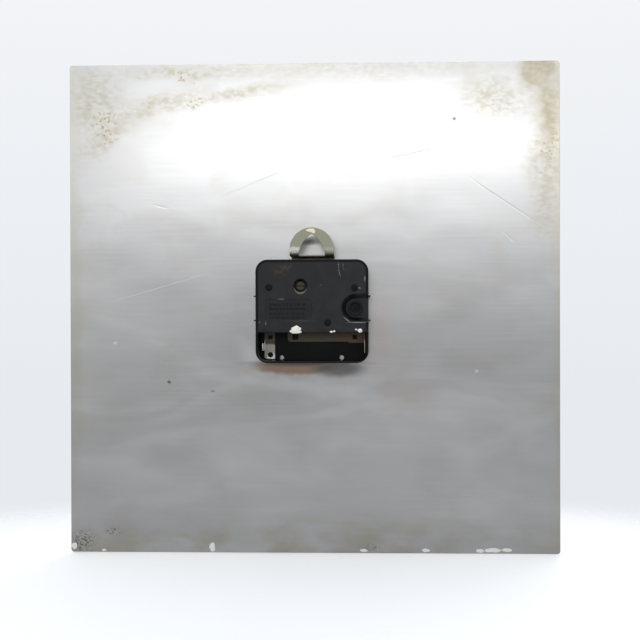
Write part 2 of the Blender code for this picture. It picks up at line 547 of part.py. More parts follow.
def train():
    hub = (0.0, 0.0)
    to_inter, to_second = bearing(ROTOR_AT, INTER_AT), bearing(INTER_AT, hub)
    to_third, to_centre = bearing(hub, THIRD_AT), bearing(THIRD_AT, hub)
    to_minute, to_hour = bearing(hub, MINUTE_WHEEL_AT), bearing(MINUTE_WHEEL_AT, hub)
    to_knob = bearing(MINUTE_WHEEL_AT, KNOB_AT)

    node("rotor_pinion", "white", wheel(8, ROTOR_MODULE, to_inter, ROTOR_AT, (-7.8, -6.9)),
         join=[pin(ROTOR_AT, 0.32, -12.9, -3.6)], axis=at(ROTOR_AT))
    node("intermediate_wheel", "white",
         wheel(48, ROTOR_MODULE, meshing(48, 8, to_inter, to_inter), INTER_AT, INTER_LAYER, True),
         join=[wheel(8, SECOND_MODULE, to_second, INTER_AT, (-9.3, -7.5)), pin(INTER_AT, 0.35, -12.9, -3.6)],
         axis=at(INTER_AT))
    node("second_wheel", "white",
         wheel(40, SECOND_MODULE, meshing(40, 8, to_second, to_second), hub, SECOND_LAYER, True),
         join=[wheel(8, THIRD_MODULE, to_third, hub, (-10.6, -8.9)), pin(hub, 1.0, -8.5, -7.9, 16)],
         cut=[bore(hub, PIN_R + 0.08, -12, -6)], axis=at(hub))
    needle = [(-30.8, PIN_R - 0.1), (-30.6, PIN_R), (-3.6, PIN_R)]
    node("second_arbor", "steel", turned(needle, *at(hub), 12), axis=at(hub))
    node("third_wheel", "white",
         wheel(60, THIRD_MODULE, meshing(60, 8, to_third, to_third), THIRD_AT, THIRD_LAYER, True),
         join=[wheel(8, CENTRE_MODULE, to_centre, THIRD_AT, (-12.1, -10.3)),
               pin(THIRD_AT, 0.35, -12.9, -3.6)],
         axis=at(THIRD_AT))
    node("centre_wheel", "white",
         wheel(64, CENTRE_MODULE, meshing(64, 8, to_centre, to_centre), hub, CENTRE_LAYER, True),
         cut=[bore(hub, 1.5, -13, -10, 20)], axis=at(hub))
    star = [(r * math.cos(math.radians(30 * i)), r * math.sin(math.radians(30 * i)))
            for i, r in ((i, 3.6 if i % 4 == 0 else 2.1) for i in range(12))]
    node("clutch_spring", "steel", prism(star, -11.1, -10.9, at=at(hub)), cut=[bore(hub, 1.5, -12, -10, 20)],
         axis=at(hub))
    arbor = [(-29.0, ARBOR_R - 0.15), (-28.8, ARBOR_R), (-13.0, ARBOR_R), (-13.0, 1.4), (-10.75, 1.4)]
    node("minute_arbor", "brass", turned(arbor, *at(hub), 24),
         join=[wheel(10, MOTION_MODULE, to_minute, hub, (-14.1, -13.2))],
         cut=[bore(hub, 0.7, -30, -10, 16)], axis=at(hub))
    minute_phase = meshing(30, 10, to_minute, to_minute)
    node("minute_wheel", "white", wheel(30, MOTION_MODULE, minute_phase, MINUTE_WHEEL_AT, MINUTE_LAYER),
         join=[wheel(8, MOTION_MODULE, to_hour, MINUTE_WHEEL_AT, (-15.0, -13.8))],
         cut=[bore(MINUTE_WHEEL_AT, 0.7, -16, -12)], axis=at(MINUTE_WHEEL_AT))
    node("hour_wheel", "natural", wheel(32, MOTION_MODULE, meshing(32, 8, to_hour, to_hour), hub, HOUR_LAYER),
         join=[turned([(-26.6, PIPE_R), (-14.5, PIPE_R)], *at(hub), 24)],
         cut=[bore(hub, ARBOR_R + 0.15, -28, -13, 24)], axis=at(hub))
    node("setting_wheel", "white",
         wheel(18, MOTION_MODULE, meshing(18, 30, minute_phase, to_knob), KNOB_AT, MINUTE_LAYER),
         join=[pin(KNOB_AT, 1.6, -13.9, -3.0, 20)], cut=[bore(KNOB_AT, 0.85, -15, -12.9)], axis=at(KNOB_AT))
    # The knob: pressed on the spindle, with a blind recess and a pip on its outer face.
    knob = [(-2.9, 1.7), (-4.0, 1.7), (-4.0, 3.5), (-3.8, 3.6), (-1.2, 3.6), (-1.0, 3.4), (-1.0, 2.3),
            (-2.0, 2.3), (-2.0, 0.8), (-1.3, 0.7)]
    node("setting_knob", "black", turned(knob, *at(KNOB_AT), 24), axis=at(KNOB_AT))


# The hands


def pointing(points, turn):
    """Points of a hand that points up, turned clockwise as the dial is read."""
    c, s = math.cos(turn), math.sin(turn)
    return [(x * c + z * s, -x * s + z * c) for x, z in points]


def hands():
    hub = (0.0, 0.0)
    second_turn = 2 * math.pi * SECOND / 60
    minute_turn = 2 * math.pi * (MINUTE + SECOND / 60) / 60
    hour_turn = 2 * math.pi * (HOUR + (MINUTE + SECOND / 60) / 60) / 12

    def blade(length, wide, tail):
        shoulder = length * 0.72
        return [(-wide * 0.32, -tail), (wide * 0.32, -tail), (wide * 0.5, shoulder), (0.0, length),
                (-wide * 0.5, shoulder)]

    node("hour_hand", "hand_black",
         prism(pointing(blade(HOUR_LENGTH, 8.0, 14.0), hour_turn), -25.9, -25.5, at=at(hub)),
         join=[pin(hub, 4.6, -25.95, -25.45, 24), pin(hub, 3.2, -26.3, -24.9, 24)],
         cut=[bore(hub, PIPE_R + 0.1, -28, -23, 24)], axis=at(hub))
    node("minute_hand", "hand_black",
         prism(pointing(blade(MINUTE_LENGTH, 6.0, 18.0), minute_turn), -27.8, -27.4, at=at(hub)),
         join=[pin(hub, 3.6, -27.85, -27.35, 24), pin(hub, 2.3, -28.05, -26.9, 24)],
         cut=[bore(hub, ARBOR_R + 0.1, -30, -26, 24)], axis=at(hub))
    node("hand_nut", "brass", tube(-28.9, -28.2, 2.7, ARBOR_R + 0.1, *at(hub), 24), axis=at(hub))
    sweep = [(-0.8, -30.0), (0.8, -30.0), (0.5, SECOND_LENGTH), (-0.5, SECOND_LENGTH)]
    weight = prism(circle(0.0, 0.0, 4.5, 24), -29.72, -29.38, at=at(pointing([(0.0, -24.0)], second_turn)[0]))
    node("second_hand", "hand_red", prism(pointing(sweep, second_turn), -29.7, -29.4, at=at(hub)),
         join=[weight, pin(hub, 2.6, -29.75, -29.35, 20), pin(hub, 1.2, -30.5, -29.2, 16)],
         cut=[bore(hub, PIN_R + 0.08, -31, -28)], axis=at(hub))


for existing in list(bpy.data.objects):
    bpy.data.objects.remove(existing, do_unlink=True)
plate_and_fixings()
hanger()
front_case()
back_cover()
contacts()
electronics()
train_plates()
train()
hands()
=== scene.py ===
"""The looks of a service station advertising clock, seen from behind: a bare aluminium sheet with a black
quartz movement clamped to it.

Lengths are millimetres, and become metres as each mesh is made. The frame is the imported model's: +Z up, the
dial faces -Y, the wall is at y = 0 and the nail bears at the origin. An outline is a list of (x, z).
"""

import json
import math
import random

import bmesh
import bpy
from mathutils import Matrix, Vector, noise

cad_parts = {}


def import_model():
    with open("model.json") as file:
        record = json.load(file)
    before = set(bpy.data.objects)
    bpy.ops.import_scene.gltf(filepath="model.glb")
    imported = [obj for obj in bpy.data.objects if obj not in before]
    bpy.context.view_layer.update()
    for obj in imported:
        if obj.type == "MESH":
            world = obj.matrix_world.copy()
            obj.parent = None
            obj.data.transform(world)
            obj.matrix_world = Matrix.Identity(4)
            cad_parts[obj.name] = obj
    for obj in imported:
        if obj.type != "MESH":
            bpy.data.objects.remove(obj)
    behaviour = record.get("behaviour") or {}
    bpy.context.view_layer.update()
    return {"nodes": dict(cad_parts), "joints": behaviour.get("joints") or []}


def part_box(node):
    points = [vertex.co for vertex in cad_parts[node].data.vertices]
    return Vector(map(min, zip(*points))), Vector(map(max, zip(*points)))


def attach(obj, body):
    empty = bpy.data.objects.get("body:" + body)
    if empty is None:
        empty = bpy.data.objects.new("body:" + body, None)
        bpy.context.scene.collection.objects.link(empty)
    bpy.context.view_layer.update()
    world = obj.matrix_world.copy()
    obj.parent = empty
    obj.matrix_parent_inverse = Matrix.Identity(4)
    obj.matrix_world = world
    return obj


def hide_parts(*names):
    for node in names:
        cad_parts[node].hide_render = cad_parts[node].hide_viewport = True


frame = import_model()

MM = 0.001
JOINTS = {joint["name"]: joint for joint in frame["joints"]}


def joint_place(name):
    """Where a joint's axis crosses the plate's plane, as (x, z)."""
    x, _, z = JOINTS[name]["pos_m"]
    return x / MM, z / MM


def depth(name, side):
    """The y of a CAD node's front (side 0) or back (side 1)."""
    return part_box(name)[side].y / MM


AXIS_Z = joint_place("minute_hand_spin")[1]
KNOB_X, KNOB_Z = joint_place("setting_knob_spin")
TRIMMER_X, TRIMMER_Z = joint_place("trimmer_turn")

PLATE_FRONT, PLATE_BACK = depth("dial_plate", 0), depth("dial_plate", 1)
PLATE_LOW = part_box("dial_plate")[0].z / MM
PLATE_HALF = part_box("dial_plate")[1].x / MM
COVER_BACK = depth("back_cover", 1)
COVER_FRONT = COVER_BACK - 1.5
COVER_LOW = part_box("back_cover")[0].z / MM
CASE_FRONT = depth("front_case", 0)
CASE_RIM = COVER_BACK - 1.6
CASE_WALL = 1.2
CASE_FLOOR = CASE_FRONT + CASE_WALL
CASE_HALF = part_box("back_cover")[1].x / MM
CASE_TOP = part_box("front_case")[1].z / MM
CASE_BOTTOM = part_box("front_case")[0].z / MM
CASE_CORNER = 6.0
INSIDE = CASE_HALF - CASE_WALL
CHAMBER_LOW, CHAMBER_HIGH = AXIS_Z - 10.7, AXIS_Z + 22.8
BAY_LOW, BAY_HIGH = AXIS_Z - 26.25, AXIS_Z - 11.7
BUSH_R = 3.9
DISH_MOUTH, DISH_FLOOR = 6.9, 5.1
POST_PLACES = ((21.3, AXIS_Z + 9.97), (-21.1, AXIS_Z + 9.75), (-7.77, AXIS_Z - 7.5))
# The label's recess: x from and to, then z from and to
LABEL = (0.2, 22.8, AXIS_Z - 6.28, AXIS_Z + 4.22)
LABEL_FLOOR = COVER_BACK - 0.3


def place_object(name, data):
    made = bpy.data.objects.new(name, data)
    bpy.context.scene.collection.objects.link(made)
    return made


def evaluated_mesh(made):
    """A new mesh of the object as its modifiers, or its text, make it."""
    bpy.context.view_layer.update()
    graph = bpy.context.evaluated_depsgraph_get()
    return bpy.data.meshes.new_from_object(made.evaluated_get(graph), depsgraph=graph)


def add_node(tree, kind, inputs=None, **settings):
    """A shader node of this kind. An input that is given a socket is linked to it, and any other is set."""
    node = tree.nodes.new("ShaderNode" + kind)
    for key, value in settings.items():
        setattr(node, key, value)
    for key, value in (inputs or {}).items():
        if isinstance(value, bpy.types.NodeSocket):
            tree.links.new(value, node.inputs[key])
        else:
            node.inputs[key].default_value = value
    return node


# Outlines, anticlockwise as the dial is read


def circle(x, z, radius, count=48):
    turns = [2 * math.pi * i / count for i in range(count)]
    return [(x + radius * math.cos(turn), z + radius * math.sin(turn)) for turn in turns]


def arc(x, z, radius, begin, end, count):
    turns = [math.radians(begin + (end - begin) * i / count) for i in range(count + 1)]
    return [(x + radius * math.cos(turn), z + radius * math.sin(turn)) for turn in turns]


def rounded(x0, x1, z0, z1, radius, count=10):
    """A rectangle with rounded corners: one radius, or four from (x0, z0) round through (x1, z0)."""
    radii = radius if isinstance(radius, tuple) else (radius,) * 4
    corners = ((x0, z0, 1, 1, 180), (x1, z0, -1, 1, 270), (x1, z1, -1, -1, 0), (x0, z1, 1, -1, 90))
    points = []
    for (x, z, sx, sz, begin), r in zip(corners, radii):
        r = max(r, 0.02)
        points += arc(x + sx * r, z + sz * r, r, begin, begin + 90, count)
    return points


def shrinking(x0, x1, z0, z1, radii, count):
    """A rectangle with four rounded corners, as a function of its inset."""
    return lambda inset: rounded(x0 + inset, x1 - inset, z0 + inset, z1 - inset,
                                 tuple(radius - inset for radius in radii), count)


def around(x, z, half_x, half_z, radius, count=4):
    """A rounded rectangle about its centre."""
    return rounded(x - half_x, x + half_x, z - half_z, z + half_z, radius, count)


def dish_outline(radius, edge=31.0):
    """A half circle about the knob, with straight sides that run out past the side of the case."""
    sides = [(-edge, KNOB_Z + radius), (-edge, KNOB_Z - radius)]
    return arc(KNOB_X, KNOB_Z, radius, -90, 90, 40) + sides


# Closed shapes, in millimetres


def band(mesh, low, high):
    """Faces between two closed rows of the same number of points."""
    for i in range(len(low)):
        j = (i + 1) % len(low)
        mesh.faces.new((low[i], low[j], high[j], high[i]))


def loft(levels):
    """Outlines of the same number of points, each at its own y, joined into one solid."""
    mesh = bmesh.new()
    rows = [[mesh.verts.new((x, y, z)) for x, z in points] for y, points in levels]
    for low, high in zip(rows, rows[1:]):
        band(mesh, low, high)
    mesh.faces.new(rows[0])
    mesh.faces.new(rows[-1])
    bmesh.ops.recalc_face_normals(mesh, faces=mesh.faces)
    return mesh


def prism(points, y0, y1):
    return loft([(y0, points), (y1, points)])


def block(x0, x1, y0, y1, z0, z1):
    return prism([(x0, z0), (x1, z0), (x1, z1), (x0, z1)], y0, y1)


def turned(profile, x, z, count=48):
    """A profile of (y, radius) turned about an axis along Y, capped at its ends."""
    return loft([(y, circle(x, z, radius, count)) for y, radius in profile])


def ring_of(section, x, z, count):
    """A closed section of (y, radius) turned about an axis along Y."""
    mesh = bmesh.new()
    rings = [[mesh.verts.new((px, y, pz)) for px, pz in circle(x, z, radius, count)] for y, radius in section]
    for low, high in zip(rings, rings[1:] + rings[:1]):
        band(mesh, low, high)
    bmesh.ops.recalc_face_normals(mesh, faces=mesh.faces)
    return mesh


def rims(y0, y1, low, high):
    """(y, inset) pairs from y0 to y1, for a solid whose two rims are rounded by these radii."""
    turns = [math.pi / 2 * i / 4 for i in range(5)]
    front = [(y0 + low * (1 - math.cos(a)), low * (1 - math.sin(a))) for a in turns] if low else [(y0, 0.0)]
    back = [(y1 - high * (1 - math.sin(a)), high * (1 - math.cos(a))) for a in turns] if high else [(y1, 0.0)]
    return front + back


def soft_solid(outline, y0, y1, low, high):
    """A solid between two depths with rounded rims. The outline is a function of its inset."""
    return loft([(y, outline(inset)) for y, inset in rims(y0, y1, low, high)])


def opening(outline, y0, face, chamfer):
    """A cutter that opens out at 45 degrees just before it meets the face."""
    past = 1.0
    return loft([(y0, outline(0.0)), (face - chamfer, outline(0.0)), (face + past, outline(-chamfer - past))])


def round_opening(x, z, radius, y0, face, chamfer):
    return opening(lambda inset: circle(x, z, radius - inset), y0, face, chamfer)


def together(*shapes):
    """Shapes as one mesh."""
    held = bpy.data.meshes.new("held")
    whole = bmesh.new()
    for shape in shapes:
        shape.to_mesh(held)
        whole.from_mesh(held)
        shape.free()
    bpy.data.meshes.remove(held)
    return whole


def metres(name, shape):
    bmesh.ops.scale(shape, vec=(MM, MM, MM), verts=shape.verts)
    mesh = bpy.data.meshes.new(name)
    shape.to_mesh(mesh)
    shape.free()
    return mesh


def piece(name, look, shape, body="clock", stands_for=(), join=(), cut=(), keep=(), add=(),
          smooth=32):
    """One visible piece: its shape, with others joined, cut away, kept in common with it, then added."""
    made = place_object(name, metres(name, shape))
    steps = [("UNION", s) for s in join] + [("DIFFERENCE", s) for s in cut]
    steps += [("INTERSECT", s) for s in keep] + [("UNION", s) for s in add]
    helpers = []
    for operation, other in steps:
        helper = place_object("helper", metres("helper", other))
        modifier = made.modifiers.new("cut", "BOOLEAN")
        modifier.operation = operation
        modifier.solver = "EXACT"
        modifier.object = helper
        helpers.append(helper)
    if helpers:
        solid = evaluated_mesh(made)
        made.modifiers.clear()
        made.data = solid
        for helper in helpers:
            bpy.data.objects.remove(helper, do_unlink=True)
    made.data.materials.clear()
    made.data.materials.append(LOOKS[look])
    made.data.shade_smooth()
    made.data.set_sharp_from_angle(angle=math.radians(smooth))
    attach(made, body)
    if stands_for:
        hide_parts(*stands_for)
    return made


def soften(made, width):
    """Rounds a piece's sharp edges without touching its mesh."""
    weld = made.modifiers.new("weld", "WELD")
    weld.merge_threshold = 0.002 * MM
    bevel = made.modifiers.new("edges", "BEVEL")
    bevel.width = width * MM
    bevel.segments = 2
    bevel.limit_method = "ANGLE"
    bevel.angle_limit = math.radians(38)
    normals = made.modifiers.new("normals", "WEIGHTED_NORMAL")
    normals.keep_sharp = False


def blob(x, z, rx, rz, base, height, seed):
    """A low irregular lump of dried glue or paint: its outline wobbles, and its top is uneven."""
    levels, count = [], 22
    for share in (-0.25, 0.0, 0.35, 0.65, 0.85, 0.96):
        size = math.sqrt(1 - max(share, 0.0) ** 2)
        outline = []
        for i in range(count):
            turn = 2 * math.pi * i / count
            wobble = noise.noise(Vector((1.7 * math.cos(turn) + seed, 1.7 * math.sin(turn), seed * 0.37)))
            reach = size * (1 + 0.30 * wobble)
            outline.append((x + rx * reach * math.cos(turn), z + rz * reach * math.sin(turn)))
        levels.append((base + height * share, outline))
    return loft(levels)


# Materials


ENDLESS = 1e5


class Look:
    """A procedural material, made a node at a time. Its places are in millimetres in the object's frame."""

    def __init__(self, name, roughness, metallic=0.0, specular=0.5):
        self.made = bpy.data.materials.new(name)
        self.made.use_nodes = True
        self.tree = self.made.node_tree
        self.shader = self.tree.nodes["Principled BSDF"]
        self.shader.inputs["Roughness"].default_value = roughness
        self.shader.inputs["Metallic"].default_value = metallic
        self.shader.inputs["Specular IOR Level"].default_value = specular
        place = self.add("TexCoord").outputs["Object"]
        self.place = self.add("Mapping", {"Vector": place, "Scale": (1000, 1000, 1000)}).outputs[0]
        self.heights = []

    def add(self, kind, inputs=None, **settings):
        return add_node(self.tree, kind, inputs, **settings)

    def sum(self, first, second, operation="ADD"):
        return self.add("Math", {0: first, 1: second}, operation=operation).outputs[0]

    def times(self, first, second):
        return self.sum(first, second, "MULTIPLY")

    def noise(self, size, detail, stretch=(1, 1, 1), distortion=0.0):
        """Noise whose features are about this size, longer along the axes that stretch is over 1."""
        scale = tuple(1 / (size * s) for s in stretch)
        where = self.add("Mapping", {"Vector": self.place, "Scale": scale}).outputs[0]
        inputs = {"Vector": where, "Scale": 1.0, "Detail": detail, "Distortion": distortion}
        return self.add("TexNoise", inputs).outputs["Fac"]

    def between(self, value, low, high, to_low=0.0, to_high=1.0, smooth=True):
        inputs = {"Value": value, "From Min": low, "From Max": high, "To Min": to_low, "To Max": to_high}
        kind = "SMOOTHSTEP" if smooth else "LINEAR"
        return self.add("MapRange", inputs, interpolation_type=kind).outputs["Result"]

    def mix(self, share, first, second):
        """One colour over another."""
        inputs = {0: share, 6: self.colour(first), 7: self.colour(second)}
        return self.add("Mix", inputs, data_type="RGBA").outputs[2]

    def tint(self, base, mask, share, tone):
        """The base under this share of a tone, where the mask is."""
        return self.mix(self.times(mask, share), base, tone)

    def colour(self, value):
        return (*value, 1.0) if isinstance(value, tuple) and len(value) == 3 else value

    def wander(self, amount, size):
        """The place, pushed about by noise, so that what is drawn there has a ragged outline."""
        where = self.add("Mapping", {"Vector": self.place, "Scale": (1 / size,) * 3}).outputs[0]
        found = self.add("TexNoise", {"Vector": where, "Scale": 1.0, "Detail": 4.0}).outputs["Color"]
        centred = self.add("VectorMath", {0: found, 1: (0.5, 0.5, 0.5)}, operation="SUBTRACT").outputs[0]
        pushed = self.add("VectorMath", {0: centred, "Scale": 2 * amount}, operation="SCALE").outputs[0]
        return self.add("VectorMath", {0: self.place, 1: pushed}, operation="ADD").outputs[0]

    def spot(self, x, z, rx, rz, angle=0.0, soft=0.5, place=None):
        """1 inside an ellipse seen along Y and 0 outside it; angle turns it from +X towards +Z."""
        inputs = {"Vector": place or self.place, "Location": (x, 0, z),
                  "Rotation": (0, -math.radians(angle), 0), "Scale": (rx, ENDLESS, rz)}
        found = self.add("Mapping", inputs, vector_type="TEXTURE").outputs[0]
        reach = self.add("VectorMath", {0: found}, operation="LENGTH").outputs["Value"]
        return self.between(reach, 1 + soft, max(1 - soft, 0.0))

    def scratch(self, x0, z0, x1, z1, width, soft=0.6, place=None):
        """A spot drawn out between two points."""
        length = math.hypot(x1 - x0, z1 - z0) / 2
        angle = math.degrees(math.atan2(z1 - z0, x1 - x0))
        return self.spot((x0 + x1) / 2, (z0 + z1) / 2, length, width / 2, angle, soft, place)

    def any_of(self, first, *others):
        for mask in others:
            first = self.sum(first, mask, "MAXIMUM")
        return first

    def spots(self, place, *rows):
        """Spots drawn at one place: (x, z, rx, rz, angle, soft)."""
        return self.any_of(*(self.spot(*row, place=place) for row in rows))

    def scratches(self, place, *rows):
        """Scratches drawn at one place: (x0, z0, x1, z1, width, soft)."""
        return self.any_of(*(self.scratch(*row, place=place) for row in rows))

    def raise_by(self, height, distance):
        """Adds to the bump: a height from 0 to 1, times a distance."""
        self.heights.append((height, distance))

    def finish(self, colour, roughness=None, metallic=None):
        shader = self.shader.inputs
        if isinstance(colour, bpy.types.NodeSocket):
            self.tree.links.new(colour, shader["Base Color"])
        else:
            shader["Base Color"].default_value = self.colour(colour)
        for socket, value in (("Roughness", roughness), ("Metallic", metallic)):
            if value is not None:
                self.tree.links.new(value, shader[socket])
        normal = None
        for height, distance in self.heights:
            inputs = {"Height": height, "Distance": distance * MM, "Strength": 1.0}
            if normal is not None:
                inputs["Normal"] = normal
            normal = self.add("Bump", inputs).outputs["Normal"]
        if normal is not None:
            self.tree.links.new(normal, shader["Normal"])
        return self.made


def aluminium():
    """Bare mill-finish sheet, brushed across, with stains, wipe marks, scratches, and painted shade and
    reflections.
    """
    look = Look("aluminium", 0.34, 1.0)
    ragged = look.wander(5.0, 16.0)
    tight = look.wander(1.2, 4.0)
    cloud = look.noise(70.0, 5.0, (1.6, 1, 1), 0.6)
    smear = look.noise(26.0, 4.0, (2.6, 1, 1), 0.8)
    brush = look.noise(0.9, 3.0, (50, 1, 1))
    dull = look.noise(18.0, 7.0, (1.5, 1, 1), 0.4)

    base = look.mix(cloud, (0.565, 0.56, 0.555), (0.67, 0.66, 0.645))
    base = look.mix(look.between(smear, 0.45, 0.72, 0.0, 0.5), base, (0.74, 0.73, 0.715))
    base = look.mix(look.between(dull, 0.46, 0.70, 0.0, 0.40), base, (0.55, 0.525, 0.475))
    base = look.mix(look.between(brush, 0.35, 0.7, 0.0, 0.10), base, (0.80, 0.795, 0.78))
    # Painted shade round the movement, and cleaner near the edge at +X
    base = look.tint(base, look.spot(-6, -30, 74, 36, 0, 0.9, ragged), 0.30, (0.36, 0.35, 0.34))
    base = look.tint(base, look.spot(119, -56, 16, 42, 0, 0.9, ragged), 0.5, (0.74, 0.72, 0.68))
    # Painted reflection seen through the hanger's opening: painted shade low down, and a painted highlight at
    # the top
    base = look.tint(base, look.spot(2.0, -2.7, 4.4, 1.3, 0, 0.7), 0.72, (0.12, 0.12, 0.12))
    base = look.mix(look.spot(2.0, 1.4, 2.8, 1.5, 0, 0.6), base, (0.92, 0.92, 0.92))

    # Pale smears where something was wiped off below the movement, a painted reddish reflection under and
    # beside it, and painted shade under it
    smears = look.spots(ragged, (8, -76, 36, 3.5, 8, 0.8), (-18, -88, 30, 2.6, -10, 0.8),
                        (30, -64, 12, 4, 55, 0.8), (-60, -95, 34, 12, 0, 0.9))
    base = look.tint(base, smears, 0.45, (0.78, 0.78, 0.78))
    # Painted reflection: a reddish tint under and beside the movement
    warm_reflection = look.any_of(look.spot(8, -66.5, 24, 4.5, 0, 0.7, tight),
                       look.spots(ragged, (-48, -82, 12, 9, 20, 0.9), (-34, -50, 6, 16, 0, 0.9)))
    base = look.tint(base, warm_reflection, 0.26, (0.58, 0.42, 0.35))
    # Painted reflection: a brown-orange band just under the movement
    base = look.tint(base, look.spot(10, -66.4, 20, 3.6, 0, 0.3, tight), 0.80, (0.33, 0.20, 0.13))
    # Painted shade just under the movement
    shade = look.any_of(look.spot(-13, -67.2, 12, 4.0, 0, 0.5, tight), look.spot(4, -64.4, 25, 1.4, 0, 0.7))
    base = look.tint(base, shade, 0.80, (0.13, 0.125, 0.12))

    # Khaki water stains: along the top, at both top corners and down the side at -X
    fine_break = look.between(look.noise(1.8, 8.0, (1.6, 1, 1), 0.0), 0.34, 0.68, 0.35, 1.0)
    wisps = look.any_of(
        look.scratches(ragged, (116, 44, 92, 66, 13, 0.9), (96, 62, 58, 74, 8, 0.9),
                       (64, 68, 14, 78, 6, 0.9)),
        look.spots(ragged, (70, 84, 24, 3, 0, 0.9), (112, 70, 14, 16, 0, 0.9), (-119, 34, 8, 30, 0, 0.9),
                   (-92, 70, 16, 10, 0, 0.9)),
        look.times(look.spot(10, 86, 110, 5, 0, 0.9, ragged), 0.6))
    stain = look.times(look.times(wisps, fine_break), 0.62)
    base = look.mix(stain, base, (0.44, 0.385, 0.26))
    corner = look.spots(ragged, (-114, 84, 10, 10, 0, 0.35), (-120, 66, 6, 18, 0, 0.8))
    base = look.tint(base, corner, look.between(fine_break, 0.35, 1.0, 0.65, 0.88), (0.41, 0.36, 0.25))
    grains = look.between(look.noise(1.3, 4.0), 0.55, 0.64)
    dotted = look.spots(ragged, (107, 57, 8, 8, 40, 0.7), (-119, 46, 6, 7, 0, 0.8), (60, 69, 4, 2.4, 0, 0.7),
                        (66, 82, 7, 2, 0, 0.8))
    base = look.tint(base, look.times(dotted, grains), 0.8, (0.36, 0.25, 0.08))
    sides = look.spots(ragged, (124, AXIS_Z, 4.5, 140, 0, 0.6), (-124.5, AXIS_Z, 3.5, 140, 0, 0.6))
    base = look.tint(base, sides, 0.4, (0.60, 0.56, 0.46))

    # The bottom edge has stood in damp: khaki, then nearly black spots
    bottom = look.spot(0, PLATE_LOW + 1, 170, 13, 0, 0.8, ragged)
    damp = look.between(look.noise(14.0, 7.0, (2.0, 1, 1), 0.3), 0.36, 0.70)
    base = look.tint(base, look.times(bottom, damp), 0.62, (0.42, 0.37, 0.24))
    dark_grains = look.between(look.noise(1.0, 3.0), 0.50, 0.58)
    pits = look.any_of(
        look.times(look.spots(tight, (119, -156, 5, 5, 0, 0.8), (103, -150.5, 3.6, 2.2, 0, 0.7)),
                   dark_grains),
        look.spot(-71.8, 59.6, 0.8, 0.8, 0, 0.5),
        look.spots(tight, (74, -74.5, 1.0, 0.6, 20, 0.5), (51.6, -78.6, 1.1, 0.4, -20, 0.5)),
        look.times(look.spot(-29.5, -158.5, 3.0, 1.4, 0, 0.7, tight), dark_grains))
    base = look.tint(base, pits, 0.75, (0.07, 0.06, 0.05))

    # Scratches, and pale specks
    bright = look.any_of(
        look.scratches(None, (-82.5, 27.5, -110.5, 8.6, 0.55), (-96.7, 2, -101.3, -2.6, 0.5),
                       (-40, 40, -58, 44, 0.25), (20, 32, 44, 22, 0.22), (60, -20, 98, -31, 0.22)),
        look.scratch(82.2, 16.8, 75.5, 15.2, 0.7, place=tight),
        look.spots(tight, (102, -53.6, 0.9, 0.6, 0, 0.5), (-83, -68.4, 0.9, 0.7, 0, 0.5)))
    base = look.tint(base, bright, 0.6, (0.86, 0.86, 0.86))

    worn = look.times(look.any_of(stain, look.times(bottom, 0.6)), 0.05)
    rough = look.sum(look.between(cloud, 0.3, 0.7, 0.19, 0.235), worn)
    rough = look.sum(rough, look.between(smear, 0.4, 0.7, -0.012, 0.02))
    look.raise_by(brush, 0.0006)
    look.raise_by(look.noise(55.0, 2.0, (1.3, 1, 1)), 0.30)
    look.raise_by(look.times(bright, -1.0), 0.03)
    return look.finish(base, rough)


def zinc():
    """Dull yellow-grey passivated strip, paler and mottled round its bend, where it is rubbed and a highlight
    is painted.
    """
    look = Look("zinc", 0.42, 1.0)
    cloud = look.noise(3.0, 5.0)
    fine = look.noise(0.6, 4.0)
    rubbed = look.wander(0.6, 2.0)
    # Round the bend: zinc rubbed bright, and a painted highlight, pale and less metallic, stronger at +X
    bend = look.any_of(look.spot(9.0, -7.6, 4.5, 1.5, 0, 0.4, rubbed),
                       look.times(look.spot(-9.0, -7.8, 5.0, 1.3, 0, 0.5, rubbed), 0.35))
    worn_and_highlit = look.times(bend, look.between(fine, 0.36, 0.60, 0.25, 1.0))
    base = look.mix(cloud, (0.27, 0.265, 0.19), (0.40, 0.39, 0.30))
    base = look.mix(worn_and_highlit, base, (0.66, 0.66, 0.65))
    look.raise_by(fine, 0.03)
    metallic = look.between(worn_and_highlit, 0.0, 1.0, 1.0, 0.15, False)
    return look.finish(base, look.between(cloud, 0.3, 0.7, 0.36, 0.52), metallic)


def black_plastic(name, shade, gloss, marks=None):
    """Moulded black styrene with a fine texture, dusted and rubbed, and then with marks and painted light of
    its own.
    """
    look = Look(name, 0.42, specular=gloss)
    dust = look.noise(9.0, 6.0, (1, 1, 1), 0.6)
    rub = look.noise(0.7, 3.0, (6, 1, 1))
    clean, dusty, rubbed = (tuple(shade * channel for channel in tone) for tone in (
        (0.0055, 0.0055, 0.0064), (0.0145, 0.0140, 0.0142), (0.034, 0.034, 0.035)))
    base = look.mix(look.between(dust, 0.35, 0.75), clean, dusty)
    base = look.mix(look.between(rub, 0.62, 0.8, 0.0, 0.35), base, rubbed)
    if marks:
        base = marks(look, base)
    look.raise_by(look.noise(0.28, 2.0), 0.012)
    look.raise_by(dust, 0.05)
    return look.finish(base, look.between(dust, 0.3, 0.7, 0.36, 0.52))


